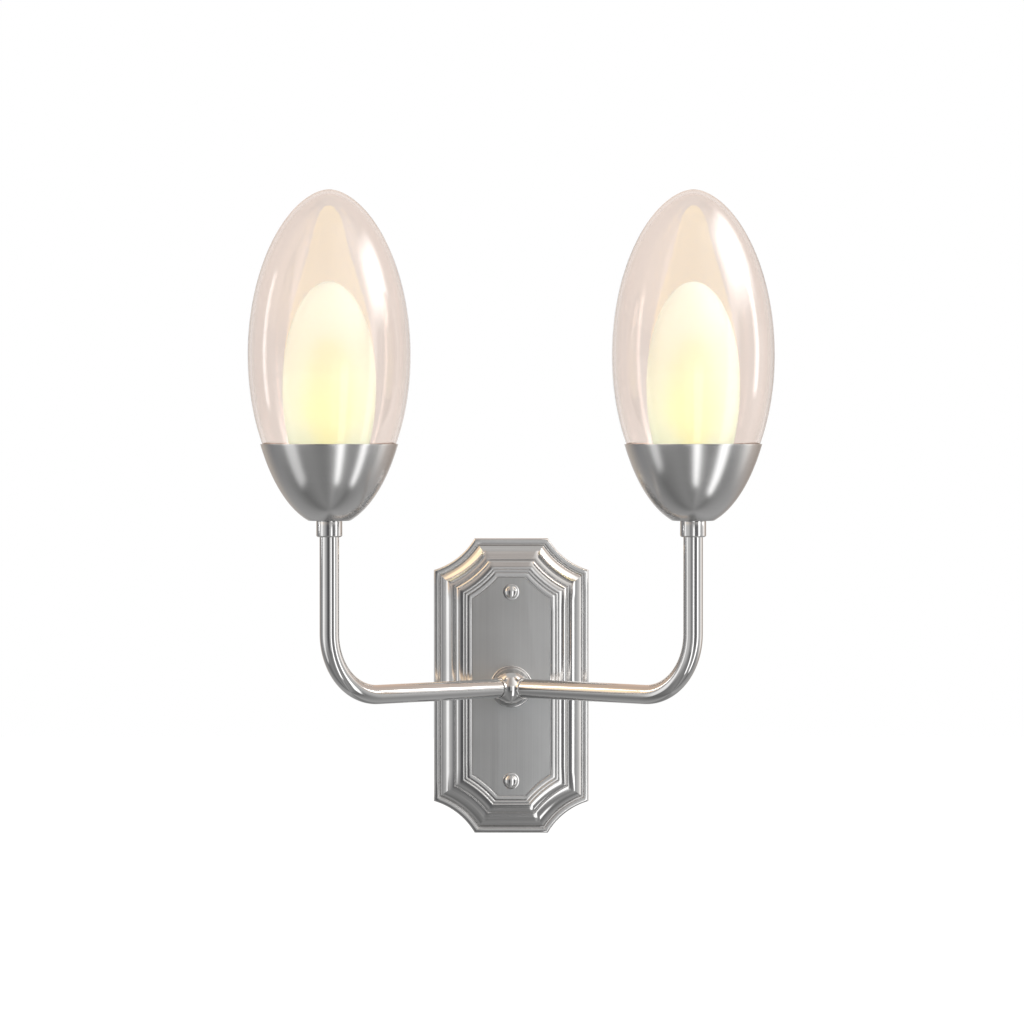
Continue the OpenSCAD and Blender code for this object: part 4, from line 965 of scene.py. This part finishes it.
for side in SIDES:
    middle = [Vector(p) for p in lead_path(side)]
    strands = []
    for start in (0.0, math.pi):
        strand, travelled, across = [], 0.0, Vector((0, 0, 1))
        for i, here in enumerate(middle):
            ahead = (middle[min(i + 1, len(middle) - 1)] - middle[max(i - 1, 0)]).normalized()
            across = (across - ahead * across.dot(ahead)).normalized()
            travelled += (here - middle[i - 1]).length if i else 0.0
            turned = start + 2 * math.pi * travelled / TWIST_PITCH
            sideways = across * math.cos(turned) + ahead.cross(across) * math.sin(turned)
            strand.append(here + sideways * (WIRE_R + WIRE_GAP))
        strands.append(strand)
    for tag, strand in zip("ab", strands):
        wire = tube(f"lead_wire_{tag}_{side}", strand, WIRE_R, steps=10)
        dress(wire, sheath, "root", "wire_sheath", f"lead_{side}")
    sleeve_path = [(SIDES[side] * LEAD_OFFSET, LEAD_START - SLEEVE_L * i / 14, 0) for i in range(15)]
    sleeve = tube(f"lead_sleeve_{side}", sleeve_path, SLEEVE_R, SLEEVE_BORE_R, steps=20)
    dress(sleeve, sleeving, "root", "wire_sheath", f"lead_{side}")

# %% [markdown]
# ## In the cup
#
# A second nipple clamps the cup to its collar and arm, with a washer and a nut on the cup's floor.
# The porcelain lamp holder stands on it. Its sleeve is threaded, and a ribbed ring screws down on
# the sleeve to hold the tray on which both glasses stand. Under each glass lies a silicone gasket.

# %% Cup's inside
CUP_FLOOR, CUP_NUT, HOLDER_Z, SHOULDER, HOLDER_TOP = 115.2, 116.2, 119.7, 142.4, 158.0
FLOOR_TOP, TRAY_T, GASKET_T = 134.0, 1.2, 1.2
TRAY_TOP = SHOULDER + TRAY_T
tray_r = cup_radius(SHOULDER, CUP_WALL) - RIM_GAP
HOLDER_R, SLEEVE_OUT_R, SLEEVE_IN_R, SLEEVE_PITCH, SLEEVE_GROOVE = 15.0, 12.5, 6.75, 2.0, 0.7
CONTACT_HOLE_R, FLOOR_UNDER, SEAT_TOP = 1.45, FLOOR_TOP - 3.0, HOLDER_Z + 8.3
RIB_STEPS, RIB_SPAN, RIB_DEEP, RIB_R = 144, 6, 0.35, 17.0
holder_skin = [(TIGHT_HOLE, HOLDER_Z, 0), (HOLDER_R - 0.4, HOLDER_Z, 0), (HOLDER_R, HOLDER_Z + 0.4, 0),
               (HOLDER_R, SHOULDER - 0.5, 0), (HOLDER_R - 0.5, SHOULDER, 0), (SLEEVE_OUT_R, SHOULDER, 0)]
holder_skin += screwed(SLEEVE_OUT_R, SHOULDER + TRAY_T, HOLDER_TOP, SLEEVE_PITCH, SLEEVE_GROOVE)
holder_skin += [(7.3, HOLDER_TOP, 0), (SLEEVE_IN_R, HOLDER_TOP - 0.6, 0), (SLEEVE_IN_R, FLOOR_TOP, 0),
                (CONTACT_HOLE_R, FLOOR_TOP, 0), (CONTACT_HOLE_R, FLOOR_UNDER, 0),
                (NIPPLE_BORE_R, FLOOR_UNDER, 0), (NIPPLE_BORE_R, SEAT_TOP, 0), (TIGHT_HOLE, SEAT_TOP, 0)]


def gasket(name, at, foot_in, foot_out):
    """A flat ring under a glass's foot, with a soft lip that stands up inside the glass."""
    lip = foot_in - 0.4
    flat = TRAY_TOP + GASKET_T
    section = eased([(lip - 0.8, TRAY_TOP), (foot_out, TRAY_TOP), (foot_out, flat), (lip, flat),
                     (lip, flat + 2), (lip - 0.8, flat + 2)], 0.3)
    return turn(name, section, at)


outer_foot_in = outer_face(OUTER_T)[0][0]
for side in SIDES:
    at = LIGHT[side]
    cup_nipple = nipple(f"cup_thread_{side}", at, ARM_TOP - 7.5, HOLDER_Z + 8.0)
    dress(cup_nipple, zinc_plate, "root", "zinc", f"cup_nipple_{side}")
    washer = turn(f"cup_floor_washer_{side}", flat_ring(FREE_HOLE, 11.0, CUP_FLOOR, CUP_NUT), at)
    dress(washer, zinc_plate, "root", "zinc", f"cup_washer_{side}")
    dress(hex_nut(f"cup_hex_nut_{side}", at, CUP_NUT), zinc_plate, "root", "zinc", f"cup_nut_{side}")
    holder = threaded(f"porcelain_holder_{side}", holder_skin, at, SLEEVE_PITCH, steps=64)
    dress(holder, porcelain, "root", "porcelain", f"lamp_holder_{side}")
    tray = turn(f"pressed_tray_{side}", flat_ring(12.65, tray_r, SHOULDER, TRAY_TOP, 0.35), at, steps=96)
    dress(tray, zinc_plate, "root", "zinc", f"glass_tray_{side}")
    ribbed = []
    for reach, height in ((RIB_R - 0.8, 0), (RIB_R, 0.6), (RIB_R, 5.4), (RIB_R - 0.8, 6.0), (13.1, 6.0),
                          (12.55, 5.5), (12.55, 0.5), (13.1, 0)):
        ring = []
        for i in range(RIB_STEPS):
            rib = RIB_DEEP * (0.5 - 0.5 * math.cos(2 * math.pi * i / RIB_SPAN)) if reach == RIB_R else 0.0
            ring.append(spot(at, reach - rib, 2 * math.pi * i / RIB_STEPS, TRAY_TOP + height))
        ribbed.append(ring)
    ribbed_ring = loft(f"ribbed_ring_{side}", ribbed, wrap=True)
    dress(ribbed_ring, porcelain, "root", "porcelain", f"shade_ring_{side}")
    outer_seal = gasket(f"outer_silicone_{side}", at, outer_foot_in, tray_r)
    dress(outer_seal, silicone, "root", "silicone", f"outer_gasket_{side}")
    inner_seal = gasket(f"inner_silicone_{side}", at, NECK_R - INNER_T, NECK_R + 0.4)
    dress(inner_seal, silicone, "root", "silicone", f"inner_gasket_{side}")

# %% [markdown]
# ## Lamps
#
# Each lamp has a brass screw base whose thread is rolled, so it is a soft wave rather than a sharp
# groove. The holder's shell has the same wave. Below the base are black glass and a dome of
# solder. The lamp's own glass is pearl, so the glow fills it and fades towards its top. Inside
# stands a glass stem with a coiled filament on two wires.

# %% Lamp finishes
pearl_glass, tree, shader = new_finish("pearl_glass", IOR=1.45, Transmission_Weight=0.2)
where, grain = place_noise(tree, 1200.0, Detail=2.0)
rough = add(tree, "ShaderNodeMapRange", {"Value": grain, "To Min": 0.30, "To Max": 0.42}).outputs[0]
tree.links.new(rough, shader.inputs["Roughness"])
up = add(tree, "ShaderNodeSeparateXYZ", {"Vector": where}).outputs["Z"]
up = add(tree, "ShaderNodeMapRange", {"Value": up, "From Min": 0.155, "From Max": 0.235}).outputs[0]
glow = ramp(tree, up, [(0.0, (1.0, 0.98, 0.20)), (0.40, (1.0, 0.96, 0.18)), (0.65, (0.95, 0.72, 0.42)),
                       (0.85, (0.85, 0.60, 0.46)), (1.0, (0.85, 0.64, 0.54))])
tree.links.new(glow, shader.inputs["Emission Color"])
shader.inputs["Emission Strength"].default_value = 0.30
shader.inputs["Base Color"].default_value = (0.95, 0.85, 0.50, 1)
pearl_glass.cycles.emission_sampling = "NONE"

stem_glass, tree, shader = new_finish("stem_glass", Roughness=0.02, IOR=1.5, Transmission_Weight=1.0)
streak = place_noise(tree, 300.0)[1]
tree.links.new(ramp(tree, streak, [(0.3, (0.90, 0.92, 0.90)), (0.7, (0.97, 0.98, 0.97))]),
               shader.inputs["Base Color"])

hot_wire, tree, shader = new_finish("hot_wire", Metallic=0.6, Roughness=0.5)
coil_heat = place_noise(tree, 500.0)[1]
tree.links.new(ramp(tree, coil_heat, [(0.3, (1.0, 0.55, 0.16)), (0.7, (1.0, 0.72, 0.30))]),
               shader.inputs["Emission Color"])
shader.inputs["Emission Strength"].default_value = 4.0
hot_wire.cycles.emission_sampling = "NONE"
print("lamp finishes made")

# %% Lamps
TIP_Z, BASE_Z, BASE_TOP, ROLL = 134.9, 138.6, 156.1, 2.54
LAMP_R, LAMP_MID, LAMP_TOP_H, LAMP_LOW_H, LAMP_T, LAMP_NECK = 17.5, 185.1, 49.0, 26.0, 0.8, 6.3
STEM_TOP, FILAMENT_Z, FILAMENT_R = 182.1, 188.1, 7.0


def s_curve(t):
    """A smooth rise from 0 to 1."""
    return t * t * (3 - 2 * t)


def lamp_face(skin):
    """Points up the lamp's glass, skin mm inside its outer face."""
    r, narrow = LAMP_R - skin, LAMP_NECK - skin
    low = [(narrow + (r - narrow) * s_curve(i / 24), BASE_TOP + 3 + LAMP_LOW_H * i / 24)
           for i in range(24)]
    top = [(max(0.0, r * math.cos(a)), LAMP_MID + (LAMP_TOP_H - skin) * math.sin(a))
           for a in quadrant(40)]
    return low + top


def arch(turns, radius, at):
    """Points of a coil wound along the filament's arch."""
    points = []
    for i in range(turns * 10 + 1):
        along = math.pi * i / (turns * 10)
        wind = 2 * math.pi * i / 10
        reach = FILAMENT_R + radius * math.cos(wind)
        points.append((at[0] / MM + reach * math.cos(along), at[1] / MM + radius * math.sin(wind),
                       FILAMENT_Z + reach * math.sin(along)))
    return points


BASE_R, BASE_BORE_R = 5.95, 5.45
SHELL_R, SHELL_WAVE_R, SHELL_WAVE, SHELL_TOP = 6.63, 6.05, 0.3, BASE_TOP - 1.05
CONTACT_Z, CONTACT_R, CONTACT_HEAD_R, CONTACT_TOP = 130.6, 1.4, 3.0, FLOOR_TOP + 0.8
TUCK_IN_R, TUCK_OUT_R, TIP_R, TIP_H = 4.6, 5.4, 2.3, 1.5
STEM_FOOT, STEM_FOOT_R, STEM_FLARE, STEM_R = 150.1, 4.55, 153.1, 1.5
shell_out = [(SHELL_R, FLOOR_TOP + 0.05), (SHELL_R, SHELL_TOP)]
shell_in = [(SHELL_WAVE_R + SHELL_WAVE * (0.5 - 0.5 * math.cos(2 * math.pi * z / ROLL)), z)
            for z in (SHELL_TOP - (BASE_TOP - 1.1 - FLOOR_TOP) * i / 60 for i in range(61))]
contact_skin = eased([(0, CONTACT_Z), (CONTACT_R, CONTACT_Z), (CONTACT_R, FLOOR_TOP),
                      (CONTACT_HEAD_R, FLOOR_TOP), (CONTACT_HEAD_R, FLOOR_TOP + 0.5),
                      (CONTACT_HEAD_R - 0.8, CONTACT_TOP), (0, CONTACT_TOP)], 0.15, closed=False)
base_skin = screwed(BASE_R, BASE_Z, BASE_TOP, ROLL, 0.4, 1.0)
base_skin += [(BASE_BORE_R, BASE_TOP, 0), (BASE_BORE_R, BASE_Z, 0)]
lamp_skin = [(TUCK_IN_R, BASE_TOP - 6), (TUCK_OUT_R, BASE_TOP - 6), (TUCK_OUT_R, BASE_TOP),
             (LAMP_NECK, BASE_TOP)]
lamp_skin += lamp_face(0) + lamp_face(LAMP_T)[::-1] + [(TUCK_IN_R, BASE_TOP + 1.5)]
stem_skin = [(0, STEM_FOOT), (STEM_FOOT_R, STEM_FOOT), (STEM_FOOT_R, STEM_FLARE)]
stem_skin += [(STEM_FOOT_R - 3.05 * s_curve(i / 10), STEM_FLARE + 6 * i / 10) for i in range(1, 11)]
stem_skin += [(STEM_R * math.cos(a), STEM_TOP - 0.6 + 0.6 * math.sin(a)) for a in quadrant(5)]
insulator_skin = eased([(0, BASE_Z - 2.2), (TIP_R, BASE_Z - 2.2), (BASE_R, BASE_Z), (0, BASE_Z)], 0.25,
                       closed=False)
tip_skin = [(TIP_R * math.sin(a), TIP_Z + TIP_H - TIP_H * math.cos(a)) for a in quadrant(12)]
tip_skin += [(0, TIP_Z + TIP_H)]
for side in SIDES:
    at, body = LIGHT[side], f"lamp_{side}"
    shell = turn(f"rolled_shell_{side}", shell_out + shell_in, at, steps=48)
    dress(shell, shell_brass, "root", "brass", f"screw_shell_{side}")
    contact = turn(f"contact_button_{side}", contact_skin, at, steps=32, wrap=False)
    dress(contact, shell_brass, "root", "brass", f"holder_contact_{side}")
    base = threaded(f"rolled_base_{side}", base_skin, at, ROLL)
    dress(base, shell_brass, body, "brass", f"lamp_base_{side}")
    insulator = turn(f"base_insulator_{side}", insulator_skin, at, steps=48, wrap=False)
    dress(insulator, black_glass, body, "lamp_insulator", f"lamp_insulator_{side}")
    tip = turn(f"solder_tip_{side}", tip_skin, at, steps=32, wrap=False)
    dress(tip, solder, body, "brass", f"lamp_tip_{side}")
    pearl = turn(f"pearl_lamp_{side}", lamp_skin, at, steps=72)
    dress(pearl, pearl_glass, body, "lamp_glass", f"lamp_glass_{side}")
    stem = turn(f"glass_stem_{side}", stem_skin, at, steps=32, wrap=False)
    dress(stem, stem_glass, body, "lamp_glass", f"lamp_stem_{side}")
    coil = tube(f"coiled_filament_{side}", arch(34, 0.38, at), 0.10, steps=6)
    dress(coil, hot_wire, body, "filament", f"filament_{side}")
    for tag, s in (("left", -1), ("right", 1)):
        foot = Vector((at[0] / MM + s * 0.5, at[1] / MM, STEM_TOP - 0.2))
        end = Vector((at[0] / MM + s * FILAMENT_R, at[1] / MM, FILAMENT_Z))
        support = tube(f"support_{tag}_{side}", [foot.lerp(end, i / 6) for i in range(7)], 0.3, steps=10)
        dress(support, zinc_plate, body, "filament", f"filament_{side}")
